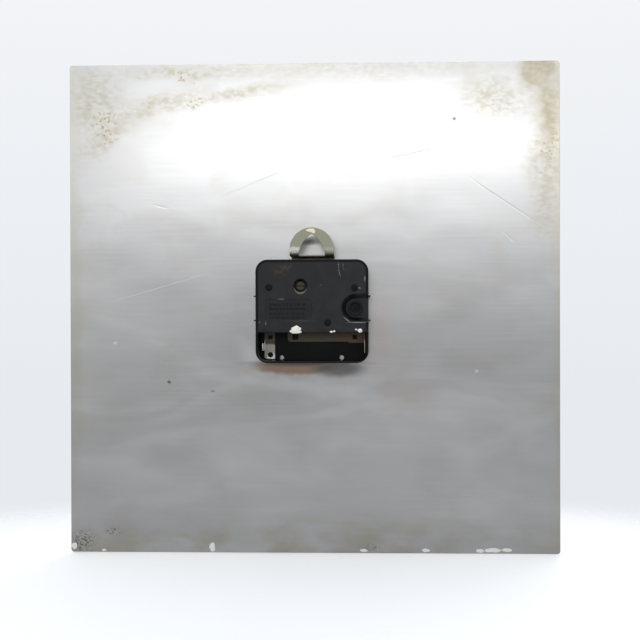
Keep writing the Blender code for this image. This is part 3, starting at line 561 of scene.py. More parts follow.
def cover_marks(look, base):
    """A brown stain, a blacker edge, crackled paint, painted shade in the label's recess, and painted
    highlights on the edges of holes and recesses.
    """
    smoky = look.between(look.noise(2.2, 5.0), 0.38, 0.66)
    stain = look.spot(14.0, -17.2, 4.6, 2.2, -25, 0.95, look.wander(0.9, 4.0))
    base = look.tint(base, look.times(stain, smoky), 0.55, (0.060, 0.046, 0.024))
    edge = look.scratches(None, (CASE_HALF, CASE_BOTTOM, CASE_HALF, CASE_TOP, 3.2, 0.5),
                          (-CASE_HALF, CASE_BOTTOM, -CASE_HALF, CASE_TOP, 2.2, 0.5),
                          (-CASE_HALF, CASE_TOP, CASE_HALF, CASE_TOP, 2.4, 0.5))
    base = look.tint(base, edge, 0.85, (0.003, 0.003, 0.003))
    label_x, label_z = (LABEL[0] + LABEL[1]) / 2 - 1.0, (LABEL[2] + LABEL[3]) / 2
    # Painted shade in the label's recess
    recess_shade = look.spot(label_x, label_z, 12.0, 5.2, 0, 0.25, look.wander(0.8, 3.0))
    base = look.tint(base, recess_shade, 0.8, (0.0035, 0.0035, 0.0042))
    ragged = look.wander(0.7, 1.8)
    broken = look.between(look.noise(0.7, 3.0), 0.46, 0.56)
    crackle = look.any_of(
        look.scratches(ragged, (-13.2, -13.2, -13.4, -17.0, 0.55), (-13.2, -17, -14.4, -21.1, 0.5),
                       (-15.2, -14, -15.8, -17.6, 0.35), (22.9, -42.9, 22.8, -45.2, 0.45)),
        look.spots(ragged, (-26.1, -22.1, 0.45, 1.3, 0, 0.5), (25.9, -43.5, 0.5, 0.4, 0, 0.5),
                   (-4.0, -25.0, 0.5, 0.5, 0, 0.5), (-23.6, -26.4, 0.6, 0.4, 0, 0.5)))
    crackle = look.times(crackle, look.between(broken, 0.0, 1.0, 0.15, 1.0))
    base = look.tint(base, crackle, 0.7, (0.24, 0.24, 0.245))
    foot, head = LABEL[2] - 0.1, LABEL[3] + 0.2
    # Painted highlights where light catches the trimmer hole's lower lip and the label's edges
    lit_lips = look.any_of(
        look.spot(TRIMMER_X, TRIMMER_Z - 0.75, 3.1, 3.35, 0, 0.05),
        look.times(look.scratch(LABEL[0], foot, LABEL[1] - 11, foot, 0.2), 0.5),
        look.scratch(LABEL[1] - 6.2, head, LABEL[1] - 9.2, head, 0.5))
    base = look.tint(base, lit_lips, 0.62, (0.20, 0.18, 0.135))
    # A painted highlight on the knob dish's lower lip, which faces up to the light
    dish_lip_highlight = look.scratches(None, (KNOB_X + 5.6, KNOB_Z - 4.7, KNOB_X + 2.6, KNOB_Z - 7.1, 0.55),
                                (KNOB_X + 3.0, KNOB_Z - 7.2, KNOB_X - 5.5, KNOB_Z - 7.2, 0.45))
    return look.tint(base, dish_lip_highlight, 0.75, (0.22, 0.21, 0.18))


def knob_marks(look, base):
    """Painted shade in the blind recess in the knob's face, which holds almost no light."""
    return look.mix(look.spot(KNOB_X, KNOB_Z, 2.45, 2.45, 0, 0.06), base, (0.0012, 0.0012, 0.0012))


def plain(name, colour, roughness, spread, grain, bump, metallic=0.0, stretch=(1, 1, 1), tint=None):
    """A material that varies a little in colour and gloss: moulded plastic, turned metal, rubber or ink."""
    look = Look(name, roughness, metallic)
    cloud = look.noise(6.0 * grain, 5.0)
    fine = look.noise(0.5 * grain, 3.0, stretch)
    dark = tuple(channel * (1 - spread) for channel in colour)
    light = tuple(min(channel * (1 + spread), 1.0) for channel in colour)
    base = look.mix(cloud, dark, light)
    if tint:
        base = look.mix(look.between(look.noise(3.0 * grain, 6.0), 0.5, 0.72, 0.0, 0.7), base, tint)
    look.raise_by(fine, bump)
    return look.finish(base, look.between(fine, 0.3, 0.7, roughness - 0.05, roughness + 0.07))


def tinned():
    """Spring strip: dull brown for painted shade under the cover's lip, with painted highlights on lit faces,
    brightest where a cell rubbed it.
    """
    look = Look("tinned", 0.38, 1.0)
    cloud = look.noise(3.0, 5.0, (2, 1, 1), 0.5)
    # Dull brown all over: painted shade, as the strip lies under the cover's lip
    base = look.mix(cloud, (0.050, 0.040, 0.031), (0.115, 0.095, 0.072))
    rusty = look.spot(-21.5, AXIS_Z - 15.0, 7.0, 3.5, 0, 0.8, look.wander(1.0, 3.0))
    base = look.tint(base, rusty, 0.6, (0.115, 0.06, 0.05))
    # Painted highlights: the lower strip and the blades' edges, which face the light
    bright = look.spots(None, (22.0, AXIS_Z - 22.4, 6.0, 4.2, 0, 0.12), (24.8, AXIS_Z - 19, 0.5, 3, 0, 0.3),
                        (-26.1, AXIS_Z - 19.5, 0.5, 3.5, 0, 0.4))
    base = look.mix(bright, base, look.mix(cloud, (0.29, 0.28, 0.23), (0.37, 0.36, 0.31)))
    # Brightest: where the cell rubbed it, with a painted highlight, and one blade's lit edge
    rubbed = look.spots(None, (20.6, AXIS_Z - 24.6, 2.2, 1.7, 20, 0.6), (24.8, AXIS_Z - 19, 0.4, 3, 0, 0.3))
    base = look.mix(rubbed, base, (0.80, 0.79, 0.76))
    look.raise_by(look.noise(0.5, 3.0, (5, 1, 1)), 0.02)
    return look.finish(base, look.between(cloud, 0.3, 0.7, 0.3, 0.45))


LOOKS = {
    "aluminium": aluminium(),
    "zinc": zinc(),
    "case": black_plastic("case_black", 0.45, 0.15),
    "cover": black_plastic("cover_black", 1.0, 0.36, cover_marks),
    "knob": black_plastic("knob_black", 0.5, 0.20, knob_marks),
    "dashes": black_plastic("dashes_black", 0.4, 0.26),
    "tinned": tinned(),
    "brass": plain("brass", (0.74, 0.54, 0.24), 0.27, 0.10, 1.0, 0.006, 1.0, (1, 6, 1), (0.42, 0.26, 0.10)),
    "rubber": plain("rubber", (0.022, 0.022, 0.023), 0.78, 0.25, 0.7, 0.03),
    "white": plain("acetal_white", (0.78, 0.77, 0.72), 0.40, 0.05, 0.8, 0.006),
    "natural": plain("styrene_natural", (0.70, 0.66, 0.55), 0.45, 0.06, 1.0, 0.01),
    "steel": plain("steel", (0.56, 0.56, 0.56), 0.28, 0.10, 0.8, 0.006, 1.0, (8, 1, 1)),
    "magnet": plain("magnet", (0.09, 0.09, 0.10), 0.5, 0.3, 0.4, 0.02, 0.3),
    "copper": plain("copper", (0.66, 0.25, 0.11), 0.3, 0.15, 0.5, 0.004, 1.0),
    "board": plain("phenolic", (0.085, 0.052, 0.024), 0.55, 0.12, 0.5, 0.01),
    "chip": plain("epoxy", (0.018, 0.018, 0.018), 0.45, 0.2, 0.5, 0.01),
    "trimmer": plain("trimmer_disc", (0.052, 0.043, 0.028), 0.5, 0.3, 0.3, 0.03, tint=(0.02, 0.018, 0.014)),
    "ceramic": plain("trimmer_ceramic", (0.035, 0.026, 0.018), 0.45, 0.2, 0.3, 0.02),
    "residue": plain("dried_glue", (0.80, 0.77, 0.68), 0.55, 0.08, 0.3, 0.06, tint=(0.60, 0.52, 0.36)),
    "dab": plain("yellowed_paint", (0.82, 0.77, 0.52), 0.5, 0.10, 0.3, 0.04),
    "chips": plain("paint_chips", (0.60, 0.59, 0.55), 0.55, 0.06, 0.4, 0.04),
    "hand_black": plain("hand_black", (0.014, 0.014, 0.015), 0.33, 0.2, 1.0, 0.006),
    "hand_red": plain("hand_red", (0.52, 0.016, 0.014), 0.30, 0.08, 1.0, 0.006),
    "ink_ground": plain("ink_ground", (0.80, 0.77, 0.68), 0.36, 0.05, 9.0, 0.008, tint=(0.76, 0.72, 0.60)),
    "ink_red": plain("ink_red", (0.50, 0.022, 0.018), 0.34, 0.10, 5.0, 0.008),
    "ink_blue": plain("ink_blue", (0.016, 0.045, 0.16), 0.34, 0.12, 5.0, 0.008),
}


# The sheet and what clamps the movement to it


def sheet_marks():
    """White paint chips left along the bottom edge of the sheet, on its back."""
    places = ((123.4, -158.4, 1.3, 1.7), (52.1, -158.6, 1.5, 2.2), (-25.4, -160.0, 1.7, 0.8),
              (-57.0, -159.8, 2.0, 0.9), (-84.5, -160.0, 2.0, 0.9), (-91.0, -159.7, 4.0, 1.1),
              (-98.0, -159.5, 2.6, 0.9), (108.0, -160.4, 1.2, 0.6))
    chips = [blob(*place, PLATE_BACK, 0.12, 3.1 * i + 0.7) for i, place in enumerate(places)]
    piece("paint_chips", "chips", together(*chips))


def threaded_bush():
    """The brass bush, with its thread cut as one helix from the case to its end."""
    end, start, pitch, cut = depth("shaft_bush", 0), CASE_FRONT - 0.3, 0.75, 0.42
    count, step = 60, 0.075
    rows = []
    for i in range(int((start - end) / step) + 1):
        y = end + i * step
        lead_in = min((y - end) / 0.5, 1.0)
        ring = []
        for j in range(count):
            share = (y / pitch + j / count) % 1.0
            radius = BUSH_R - cut * abs(2 * share - 1)
            radius = min(radius, BUSH_R - 0.45 * (1 - lead_in))
            turn = 2 * math.pi * j / count
            ring.append((radius * math.cos(turn), AXIS_Z + radius * math.sin(turn)))
        rows.append((y, ring))
    flange, flange_r = CASE_FLOOR + 0.1, 5.4
    plain_part = ((start + 0.05, BUSH_R), (flange, BUSH_R), (flange, flange_r), (flange + 0.3, flange_r))
    rows += [(y, circle(0, AXIS_Z, radius, count)) for y, radius in plain_part]
    bore = prism(circle(0, AXIS_Z, 2.6, count), end - 1, flange + 1)
    piece("threaded_bush", "brass", loft(rows), stands_for=["shaft_bush"], cut=[bore],
          smooth=50)


def nut():
    front, back = depth("hex_nut", 0), depth("hex_nut", 1)
    across = 12.0
    chamfer = turned([(front - 0.5, 5.4), (front, 5.95), (front + 0.75, 7.2), (back - 0.35, 7.2),
                      (back + 0.3, 6.1)], 0, AXIS_Z, 96)
    bore = turned([(front - 1, BUSH_R + 1.2), (front + 0.3, BUSH_R + 0.1), (back - 0.3, BUSH_R + 0.1),
                   (back + 1, BUSH_R + 1.3)], 0, AXIS_Z, 64)
    hexagon = prism(circle(0, AXIS_Z, across / math.sqrt(3), 6), front, back)
    made = piece("nut", "brass", hexagon, stands_for=["hex_nut"], keep=[chamfer],
                 cut=[bore])
    soften(made, 0.08)


def hanger():
    """A strip that runs down the wall, over the movement and down its front, with an arched nail hole."""
    low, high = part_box("hanger_bracket")
    wide, thick = high.x / MM, 0.8
    half = thick / 2
    base, top, foot = low.y / MM + half, high.z / MM, low.z / MM
    leg, bend_r, fold_r = -10.2, 2.6, 1.0
    back = -half
    bend_y, bend_z = back - bend_r, leg + bend_r
    turns = [math.radians(6 * i) for i in range(16)]
    bend = [(bend_y + bend_r * math.cos(a), bend_z - bend_r * math.sin(a), a) for a in turns]
    fold = [(base + fold_r - fold_r * math.sin(a), leg - fold_r + fold_r * math.cos(a), a) for a in turns]
    line = [(back, top + 1, (1, 0))]
    line += [(y, z, (math.cos(a), -math.sin(a))) for y, z, a in bend]
    line += [(y, z, (-math.sin(a), math.cos(a))) for y, z, a in fold]
    line += [(base, foot - 1, (-1, 0))]
    outer, inner = [], []
    for index, (y, z, (ny, nz)) in enumerate(line):
        side = 1 if index <= len(bend) else -1
        outer.append((y + side * half * ny, z + side * half * nz))
        inner.append((y - side * half * ny, z - side * half * nz))
    section = outer + inner[::-1]
    strip = bmesh.new()
    ends = [[strip.verts.new((x, y, z)) for y, z in section] for x in (-wide - 1, wide + 1)]
    strip.faces.new(ends[0])
    strip.faces.new(ends[1])
    band(strip, *ends)
    bmesh.ops.recalc_face_normals(strip, faces=strip.faces)

    corner = 3.0
    outline = arc(0, top - wide, wide, 0, 180, 60)
    outline += arc(-wide + corner, foot + corner, corner, 180, 270, 10)
    outline += arc(wide - corner, foot + corner, corner, 270, 360, 10)
    # The nail bears at the top of this arch, which is the origin.
    arch = [(6.5, -11.6), (6.45, -9.5), (6.3, -8.6), (6.1, -7.8), (5.85, -6.95), (5.5, -6.1), (5.18, -5.4),
            (4.8, -4.75), (4.38, -4.05), (3.9, -3.35), (3.37, -2.67), (2.8, -2.0), (2.25, -1.43),
            (1.7, -0.95), (1.28, -0.6), (0.85, -0.3), (0.55, -0.1), (0.3, 0.0)]
    hole = arch + [(-x, z) for x, z in arch[::-1]]
    made = piece("wall_hanger", "zinc", strip, stands_for=["hanger_bracket"],
                 keep=[prism(outline, -30, 5)],
                 cut=[prism(hole, -4.8, 3), prism(circle(0, AXIS_Z, BUSH_R + 0.3), -20, -14)])
    soften(made, 0.1)
    dabs = together(blob(0.5, 2.0, 2.2, 0.85, 0.0, 0.1, 4.2), blob(-0.9, 1.1, 0.9, 0.6, 0.0, 0.08, 8.9))
    piece("hanger_dab", "dab", dabs)


# The movement's case and cover


def post(x, z, steps, top=()):
    """A post on the case floor: (radius, up to this depth) from the bottom, then the points of its top."""
    profile = []
    y = CASE_FLOOR - 0.6
    for radius, until in steps:
        profile += [(y, radius), (until, radius)]
        y = until
    return turned(profile + list(top), x, AXIS_Z + z, 28)


def case():
    """The tray that holds the train and the cell, with ribs on its sides and posts staked over the cover."""

    def bay_outline(inset):
        return rounded(-INSIDE + inset, INSIDE - inset, BAY_LOW + inset, BAY_HIGH - inset,
                       (3.5 - inset, 3.5 - inset, 0.6, 0.6))

    outer = shrinking(-CASE_HALF, CASE_HALF, CASE_BOTTOM, CASE_TOP, (CASE_CORNER,) * 4, 14)
    chamber = prism(rounded(-INSIDE, INSIDE, CHAMBER_LOW, CHAMBER_HIGH, (0.8, 0.8, 4.8, 4.8)), CASE_FLOOR, 2)
    bay = opening(bay_outline, CASE_FLOOR, COVER_BACK, 0.3)
    lid_room = block(-40, 40, CASE_RIM, 3, COVER_LOW - 0.1, 5)
    cup_room = prism(dish_outline(DISH_MOUTH + 1.1), -5.3, 1)
    y0, y1, z0, z1 = CASE_FLOOR - 0.01, CASE_FLOOR + 0.6, CHAMBER_LOW - 1.5, CHAMBER_LOW + 0.5
    slots = together(*(block(x0, x1, y0, y1, z0, z1) for x0, x1 in ((9.4, 11.8), (19.4, 22.1))))
    floor_holes = ((0, AXIS_Z, BUSH_R + 0.1), (16.0, AXIS_Z - 25.05, 1.15), (-14.5, AXIS_Z - 25.05, 1.15))
    recess = block(-17.3, -16.6, CASE_FLOOR - 0.5, -14, AXIS_Z - 25.9, AXIS_Z - 23.6)
    holes = together(*(prism(circle(*place), -18, -14) for place in floor_holes), recess)
    head = [(-1.3, 1.45), (-1.12, 1.45), (-1.0, 1.3), (-0.95, 1.05), (-1.0, 0.5), (-0.92, 0.42),
            (-0.86, 0.25)]
    posts = together(
        post(21.3, 9.97, [(1.9, -7.1), (1.1, -1.3)], head),
        post(-21.1, 9.75, [(1.9, -6.2), (1.1, -1.3)], head),
        post(-7.77, -7.5, [(1.8, -13.1), (1.45, -4.5), (1.1, -1.3)], head),
        post(12.0, 5.0, [(1.8, -13.1), (1.2, -4.5), (0.7, -2.9)]),
        post(0.4, 13.4, [(1.8, -13.1), (1.15, -6.2), (0.9, -4.5), (0.55, -2.9)]),
        post(23.0, -6.6, [(1.5, -7.1), (0.7, -5.8)]),
        post(-9.727, 2.322, [(1.1, -15.15), (0.6, -12.4)]),
        post(KNOB_X, 0.0, [(1.2, -14.2), (0.7, -13.1)]),
    )
    stakes = together(*(
        loft([(y, around(x, z, half_x - inset, half_z - inset, radius))
              for y, inset, radius in ((CASE_FLOOR - 0.5, 0, 0.15), (-14.9, 0, 0.15), (-14.75, 0.15, 0.1))])
        for x, z, half_x, half_z in ((9.1, AXIS_Z - 14.5, 0.95, 1.3), (-21.1, AXIS_Z - 14.7, 0.7, 0.9),
                                     (21.7, AXIS_Z - 14.7, 0.75, 0.8))))
    ribs = []
    for height in (5.9, -6.15):
        z0, z1 = AXIS_Z + height - 0.3, AXIS_Z + height + 0.3
        for side in (1, -1):
            # A root up to the knob's cup, and above it a crest that stays outside the cup
            for near, y0, y1 in ((27.5, CASE_FRONT + 0.8, -5.5), (28.1, -5.6, CASE_RIM - 0.3)):
                ribs.append(block(*sorted((side * near, side * 29.0)), y0, y1, z0, z1))
    piece("case", "case", soft_solid(outer, CASE_FRONT, COVER_BACK, 0.8, 0.45),
          stands_for=["front_case"], cut=[chamber, bay, lid_room, cup_room, slots, holes],
          add=[posts, stakes, *ribs])


def cover():
    """The lid over the train, with a sloped dish round the knob, holes for three staked posts and the
    trimmer, and a label's recess."""

    def spread(y):
        return DISH_FLOOR + (DISH_MOUTH - DISH_FLOOR) * (y + 4.2) / (COVER_BACK + 4.2)

    outline = shrinking(-CASE_HALF, CASE_HALF, COVER_LOW, CASE_TOP, (0.5, 0.5, CASE_CORNER, CASE_CORNER), 14)
    cup = prism(dish_outline(DISH_MOUTH + 1.0, CASE_HALF), -5.2, -1.5)
    lip = COVER_BACK - 0.3
    dish = loft([(-4.2, dish_outline(DISH_FLOOR - 0.35)), (-3.95, dish_outline(DISH_FLOOR)),
                 (lip, dish_outline(spread(lip))), (COVER_BACK + 1, dish_outline(spread(lip) + 1.45))])
    spindle = prism(circle(KNOB_X, KNOB_Z, 2.2), -6, -3.5)
    dimples = together(*(round_opening(x, z, 1.7, -1.4, COVER_BACK, 0.22) for x, z in POST_PLACES))
    bores = together(*(prism(circle(x, z, 1.2), -3, -1.2) for x, z in POST_PLACES))
    trimmer = round_opening(TRIMMER_X, TRIMMER_Z, 3.2, -3, COVER_BACK, 0.42)
    label = opening(shrinking(*LABEL, (0.4,) * 4, 4), LABEL_FLOOR, COVER_BACK, 0.1)
    gate = turned([(-1.1, 0.35), (-0.95, 0.5), (COVER_BACK + 0.1, 0.55)], -3.9, AXIS_Z + 11.4, 20)
    groove = loft([(COVER_BACK - 0.1, rounded(-27.2, 27.2, COVER_LOW + 1.25, COVER_LOW + 1.33, 0.03, 2)),
                   (COVER_BACK + 0.1, rounded(-27.4, 27.4, COVER_LOW + 1.05, COVER_LOW + 1.53, 0.2, 2))])
    edge = 1.35
    levels = [(y, outline(inset)) for y, inset in rims(COVER_FRONT, COVER_BACK, 0.0, 0.45)]
    made = piece("cover", "cover", loft([*levels, (COVER_BACK, outline(edge))]),
                 stands_for=["back_cover"], join=[cup],
                 cut=[dish, spindle, dimples, bores, trimmer, label, gate, groove])
    # The rim keeps the plain gloss-free black of the case, where the face inside it is dusted and rubbed
    made.data.materials.append(LOOKS["case"])
    for face in made.data.polygons:
        x, y, z = face.center / MM
        reach = math.hypot(max(abs(x) - CASE_HALF + CASE_CORNER, 0.0), max(z - CASE_TOP + CASE_CORNER, 0.0))
        if reach > CASE_CORNER - edge and y > COVER_FRONT and z > COVER_LOW + edge:
            face.material_index = 1


def label_dashes():
    """Rows of raised dashes in the recess, where a maker would mould small print: they say nothing."""
    draw = random.Random(7)
    rows = []
    for below, high in ((2.3, 0.9), (4.6, 1.1), (6.9, 0.8), (8.9, 0.8)):
        x, z = LABEL[1] - 1.6, LABEL[3] - below
        while x > LABEL[0] + 3.0:
            wide = draw.uniform(0.7, 2.4)
            base = rounded(x - wide, x, z - high / 2, z + high / 2, 0.2, 3)
            top = rounded(x - wide + 0.08, x - 0.08, z - high / 2 + 0.08, z + high / 2 - 0.08, 0.14, 3)
            levels = ((-0.05, base), (0.16, base), (0.24, top))
            rows.append(loft([(LABEL_FLOOR + y, points) for y, points in levels]))
            x -= wide + draw.uniform(0.35, 0.9)
    piece("label_dashes", "dashes", together(*rows))


def residue():
    """Lumps of dried glue on the cover's lower edge."""
    face = COVER_BACK - 0.02
    lumps = [
        blob(8.0, -47.1, 2.35, 1.75, face, 0.6, 12.3), blob(8.2, -48.1, 2.9, 0.95, face, 0.4, 5.1),
        blob(7.5, -45.9, 1.2, 0.9, face, 0.5, 9.4), blob(-9.6, -48.2, 0.8, 0.45, face, 0.25, 2.2),
        blob(-11.0, -47.9, 0.5, 0.5, face, 0.2, 6.8), blob(-23.8, -47.6, 1.25, 0.9, face, 0.4, 3.6),
        blob(-21.9, -47.0, 0.6, 0.4, face, 0.2, 7.7)]
    piece("dried_glue", "residue", together(*lumps))


def knob():
    """The setting knob, with a round recess and a pip in its face."""
    front, back = depth("setting_knob", 0), depth("setting_knob", 1)
    profile = [(-2.9, 1.7), (front, 1.7), (front, 3.45), (front + 0.15, 3.6)]
    profile += [(back - below, radius) for below, radius in (
        (0.25, 3.6), (0.1, 3.54), (0.0, 3.38), (0.0, 2.5), (0.06, 2.38), (0.2, 2.3), (1.0, 2.2), (1.0, 0.8),
        (0.45, 0.7), (0.36, 0.62), (0.3, 0.4))]
    shape = turned(profile, KNOB_X, KNOB_Z, 64)
    piece("knob", "knob", shape, "setting", ["setting_knob"])


def trimmer_disc():
    """The trimmer's turning disc, with a screwdriver slot that widens at its mouth."""
    profile = [(-5.8, 0.55), (-5.0, 0.55), (-5.0, 2.2), (-3.3, 2.2), (-3.12, 2.14), (-3.0, 1.95)]
    slot = loft([(y, around(TRIMMER_X, TRIMMER_Z, half_x, half_z, 0.1, 2))
                 for y, half_x, half_z in ((-3.75, 3, 0.3), (-3.15, 3, 0.32), (-2.5, 3.9, 0.9))])
    shape = turned(profile, TRIMMER_X, TRIMMER_Z)
    piece("trimmer_disc", "trimmer", shape, "trimmer", ["trimmer_screw"], cut=[slot])


def wound_coil():
    """The coil's outer layer of enamelled wire, a turn at a time."""
    low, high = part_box("coil_winding")
    x0, x1 = low.x / MM, high.x / MM
    y, z = (low.y + high.y) / 2 / MM, (low.z + high.z) / 2 / MM
    outer, wire, crown, core = (high.y - low.y) / 2 / MM, 0.2, 0.06, 2.15
    turns = int((x1 - x0) / wire)
    width = (x1 - x0) / turns
    section = [(x0, outer - crown)]
    for i in range(turns):
        start = x0 + (x1 - x0) * i / turns
        section += [(start + width * share, outer - crown + crown * math.sin(math.pi * share))
                    for share in (0.25, 0.5, 0.75, 1.0)]
    section += [(x1, core), (x0, core)]
    shape = ring_of(section, 0, 0, 40)
    along_x = Matrix(((0, 1, 0, 0), (1, 0, 0, y), (0, 0, 1, z), (0, 0, 0, 1)))
    bmesh.ops.transform(shape, matrix=along_x, verts=shape.verts)
    bmesh.ops.recalc_face_normals(shape, faces=shape.faces)
    piece("wound_coil", "copper", shape, stands_for=["coil_winding"], smooth=60)


def board_traces():
    """Copper tracks and solder on the side of the board that faces the cover."""
    face = depth("circuit_board", 1)
    tracks = []
    routes = (((10.0, 12.9), (15.0, 12.9), (17.2, 10.6), (17.2, 6.0)), ((9.9, 14.0), (9.9, 7.0), (3.6, 7.0)),
              ((17.4, -1.0), (17.4, -8.6), (11.0, -8.6)), ((21.0, -5.2), (21.0, -9.2)),
              ((24.9, 12.0), (24.9, -3.0)))
    half = 0.35
    pad = [(face - 0.02, 0.8), (face + 0.06, 0.78), (face + 0.25, 0.5), (face + 0.33, 0.2)]
    for route in routes:
        for (xa, za), (xb, zb) in zip(route, route[1:]):
            length = math.hypot(xb - xa, zb - za)
            dx, dz = (zb - za) / length * half, -(xb - xa) / length * half
            track = [(xa - dx, AXIS_Z + za - dz), (xb - dx, AXIS_Z + zb - dz), (xb + dx, AXIS_Z + zb + dz),
                     (xa + dx, AXIS_Z + za + dz)]
            tracks.append(prism(track, face - 0.02, face + 0.05))
        tracks += [turned(pad, x, AXIS_Z + z, 20) for x, z in (route[0], route[-1])]
    piece("board_tracks", "copper", together(*tracks))


# The printed dial, on the front. Each ink is a film that stops just short of the layer it lies on.

PRINT = 0.03
FILM = PRINT * 0.98


def film(layer):
    """The front and back of a layer of ink. Layer 0 is the ground, and the others lie on it."""
    top = PLATE_FRONT - PRINT * (layer + 1)
    return top, top + FILM


def printed(name, look, shapes, layer=1):
    piece(name, look, together(*(prism(points, *film(layer)) for points in shapes)))


def ring_film(name, look, outer, inner):
    front, back = film(1)
    section = [(front, outer), (back, outer), (back, inner), (front, inner)]
    piece(name, look, ring_of(section, 0, AXIS_Z, 160))


def ticks(radius, length, wide, chosen):
    """Minute marks: rectangles that point to the centre."""
    marks = []
    for minute in chosen:
        turn = math.radians(6 * minute)
        c, s = math.cos(turn), math.sin(turn)
        half, inner = wide / 2, radius - length
        corners = ((-half, inner), (half, inner), (half, radius), (-half, radius))
        marks.append([(x * c + r * s, AXIS_Z + r * c - x * s) for x, r in corners])
    return marks


def numerals(radius, size):
    """The hours, from Blender's own typeface."""
    whole = bmesh.new()
    for hour in range(1, 13):
        text = bpy.data.curves.new("numeral", "FONT")
        text.body = str(hour)
        text.size = size
        text.align_x, text.align_y = "CENTER", "CENTER"
        text.extrude = PRINT / 2
        held = place_object("numeral", text)
        turn = math.radians(30 * hour)
        x, z = radius * math.sin(turn), AXIS_Z + radius * math.cos(turn)
        mesh = evaluated_mesh(held)
        upright = Matrix.Rotation(math.pi / 2, 4, "X")
        mesh.transform(Matrix.Translation((x, PLATE_FRONT - PRINT * 2.5, z)) @ upright)
        whole.from_mesh(mesh)
        bpy.data.objects.remove(held, do_unlink=True)
    piece("numerals", "ink_blue", whole)


def pump(x, z):
    """A plain pictogram of a fuel pump: a body with a window, a plinth, and a hose."""
    body = rounded(x - 8, x + 6, z - 13, z + 13, 2.2)
    plinth = rounded(x - 10.5, x + 8.5, z - 16.5, z - 13.2, 0.8)
    hose = [(x + dx, z + dz) for dx, dz in (
        (6.4, 0.2), (8.4, 0.2), (8.4, -8.4), (11.6, -11.4), (14.8, -8.4), (14.8, 6.0), (10.3, 10.8),
        (9.0, 9.6), (12.8, 5.4), (12.8, -7.6), (11.4, -9.2), (10.4, -7.6), (10.4, 1.2), (9.4, 2.2),
        (6.4, 2.2))]
    return [body, plinth, hose]


def dial():
    """A white ground, a red rim, a minute track, the hours, and a pump between the centre and the 12."""
    half = PLATE_HALF - 0.4
    bore = prism(circle(0, AXIS_Z, BUSH_R + 0.3), PLATE_FRONT - 2, PLATE_FRONT + 1)
    piece("dial_ground", "ink_ground", prism(around(0, AXIS_Z, half, half, 1.2, 10), *film(0)), cut=[bore])
    ring_film("dial_rim", "ink_red", 121.0, 113.5)
    ring_film("dial_track", "ink_blue", 110.4, 109.4)
    marks = ticks(108.6, 4.0, 0.9, [m for m in range(60) if m % 5]) + ticks(108.6, 6.5, 2.4, range(0, 60, 5))
    printed("minute_marks", "ink_blue", marks)
    numerals(88.0, 24.0)
    ring_film("dial_centre", "ink_red", 32.0, 30.0)
    pump_x = -1.5
    printed("pump_mark", "ink_red", pump(pump_x, AXIS_Z + 50.0))
    window = rounded(pump_x - 5.6, pump_x + 3.6, AXIS_Z + 53.0, AXIS_Z + 60.2, 1.0)
    printed("pump_window", "ink_ground", [window], 2)


# The CAD nodes that are shown as they are, by material, each with the radius of its softened edges

KEPT = {
    "aluminium": {"dial_plate": 0.12},
    "rubber": {"rubber_washer": 0.15},
    "brass": {"brass_washer": 0.08, "minute_arbor": 0.0, "hand_nut": 0.1},
    "natural": {"middle_plate": 0.08, "train_bridge": 0.08, "coil_bobbin": 0.08, "hour_wheel": 0.0},
    "board": {"circuit_board": 0.0},
    "chip": {"ic_chip": 0.0},
    "steel": {"quartz_crystal": 0.15, "coil_core": 0.05, "stator_plate": 0.05, "second_arbor": 0.0,
              "clutch_spring": 0.0},
    "ceramic": {"trimmer_body": 0.08},
    "tinned": {"positive_contact": 0.07, "negative_contact": 0.07},
    "white": dict.fromkeys(("second_wheel", "rotor_pinion", "intermediate_wheel", "third_wheel",
                            "centre_wheel", "minute_wheel", "setting_wheel"), 0.0),
    "magnet": {"rotor_magnet": 0.08},
    "hand_red": {"second_hand": 0.06},
    "hand_black": {"minute_hand": 0.08, "hour_hand": 0.08},
}


def dress_kept():
    for look, nodes in KEPT.items():
        for name, edge in nodes.items():
            made = frame["nodes"][name]
            made.data.materials.clear()
            made.data.materials.append(LOOKS[look])
            if edge:
                soften(made, edge)


# The camera, the lights and the floor


def camera():
    """Behind the clock, level with it and a little to one side, at an arm's length."""
    yaw, pitch, roll = 0.0364, -0.0046, -0.0025
    forward = Vector((math.sin(yaw) * math.cos(pitch), -math.cos(yaw) * math.cos(pitch), math.sin(pitch)))
    level = forward.cross(Vector((0, 0, 1))).normalized()
    upright = level.cross(forward)
    right = math.cos(roll) * level + math.sin(roll) * upright
    up = math.cos(roll) * upright - math.sin(roll) * level
    data = bpy.data.cameras.new("camera")
    data.lens, data.sensor_width = 64.09, 36.0
    data.clip_start, data.clip_end = 0.01, 20.0
    made = place_object("camera", data)
    turn = Matrix((right, up, -forward)).transposed().to_4x4()
    made.matrix_world = Matrix.Translation(Vector((-24.513, 562.10, -39.75)) * MM) @ turn
    bpy.context.scene.camera = made


def softbox(name, place, target, wide, high, power):
    data = bpy.data.lights.new(name, "AREA")
    data.shape = "RECTANGLE"
    data.size, data.size_y = wide, high
    data.energy = power
    made = place_object(name, data)
    made.location = place
    made.rotation_mode = "QUATERNION"
    made.rotation_quaternion = (Vector(target) - Vector(place)).to_track_quat("-Z", "Y")


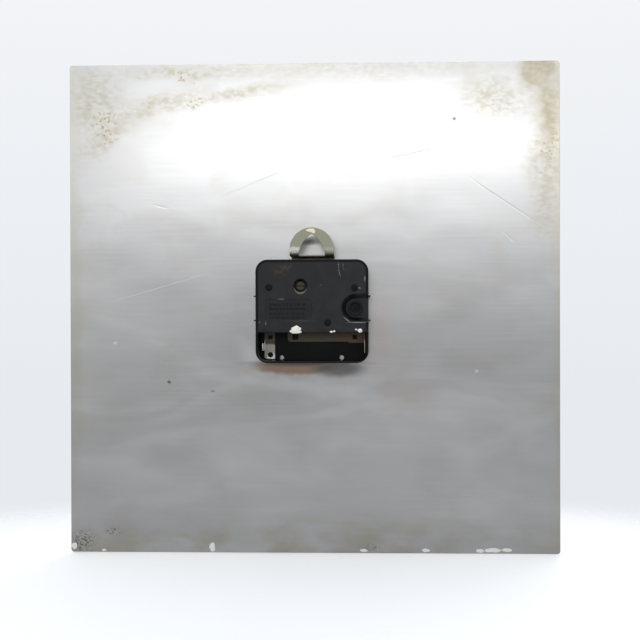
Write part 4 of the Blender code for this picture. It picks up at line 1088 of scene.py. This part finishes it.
def floor():
    """A pale disc that fades out into the backdrop."""
    look = Look("floor", 0.6)
    reach = look.add("VectorMath", {0: look.place}, operation="LENGTH").outputs["Value"]
    fade = look.between(reach, 190.0, 360.0)
    grain = look.noise(3.0, 3.0)
    pale = look.mix(grain, (0.90, 0.905, 0.91), (0.93, 0.935, 0.94))
    # In gloss the floor is seen as if it were flagged off, as a studio would do for bare metal
    mirrored = look.add("LightPath").outputs["Is Glossy Ray"]
    look.finish(look.mix(mirrored, pale, (0.34, 0.35, 0.36)))
    clear = look.add("BsdfTransparent").outputs[0]
    mixed = look.add("MixShader", {0: fade, 1: look.shader.outputs[0], 2: clear}).outputs[0]
    look.tree.links.new(mixed, look.tree.nodes["Material Output"].inputs["Surface"])
    mesh = metres("floor", prism(circle(0, 0, 420.0, 96), 0.0, 6.0))
    mesh.transform(Matrix.Rotation(-math.pi / 2, 4, "X"))
    mesh.materials.append(look.made)
    made = place_object("floor", mesh)
    made.location = (0.0, 0.12, (PLATE_LOW - 0.5) * MM)


def world():
    """A near-white backdrop, and softer light on the side that the back of the clock faces."""
    made = bpy.data.worlds.new("backdrop")
    made.use_nodes = True
    bpy.context.scene.world = made
    tree = made.node_tree

    def add(kind, inputs=None, **settings):
        return add_node(tree, kind, inputs, **settings).outputs

    def ramp(value, low, high, to_low=0.0, to_high=1.0):
        inputs = {"Value": value, "From Min": low, "From Max": high, "To Min": to_low, "To Max": to_high}
        return add("MapRange", inputs)[0]

    def mix(share, first, second):
        return add("Mix", {0: share, 6: first, 7: second}, data_type="RGBA")[2]

    split = add("SeparateXYZ", {0: add("TexCoord")["Generated"]})
    up, to_wall = split["Z"], split["Y"]
    seen = mix(ramp(up, -0.06, 0.30), (0.80, 0.83, 0.86, 1), (0.90, 0.915, 0.945, 1))
    lift, room = ramp(up, -0.02, 0.17, 0.46, 1.18), ramp(to_wall, -0.2, 0.5, 1.0, 0.0)
    level = add("Math", {0: lift, 1: room}, operation="MAXIMUM")[0]
    light = mix(level, (0, 0, 0, 1), (0.93, 0.96, 1.0, 1))
    colour = mix(add("LightPath")["Is Camera Ray"], light, seen)
    tree.links.new(colour, tree.nodes["Background"].inputs["Color"])


def lights():
    """Two softboxes that the bare sheet mirrors as a bright band, and two that light the whole clock."""
    centre, upper = ((0.0, PLATE_BACK * MM, z) for z in (AXIS_Z * MM, 0.05))
    softbox("strip", (0.0, 1.45, 0.288), upper, 0.74, 0.070, 0.42)
    softbox("glow", (0.0, 1.50, 0.270), upper, 1.0, 0.30, 0.44)
    softbox("overhead", (0.15, 0.45, 1.25), centre, 1.3, 0.9, 5.8)
    softbox("dial_side", (-0.55, -1.25, 0.75), centre, 1.1, 1.1, 5.0)


bpy.context.scene.view_settings.view_transform = "Standard"
for make in (camera, world, lights, floor, sheet_marks, threaded_bush, nut, hanger, case, cover, label_dashes,
             residue, knob, trimmer_disc, wound_coil, board_traces, dial, dress_kept):
    make()

bpy.context.view_layer.update()
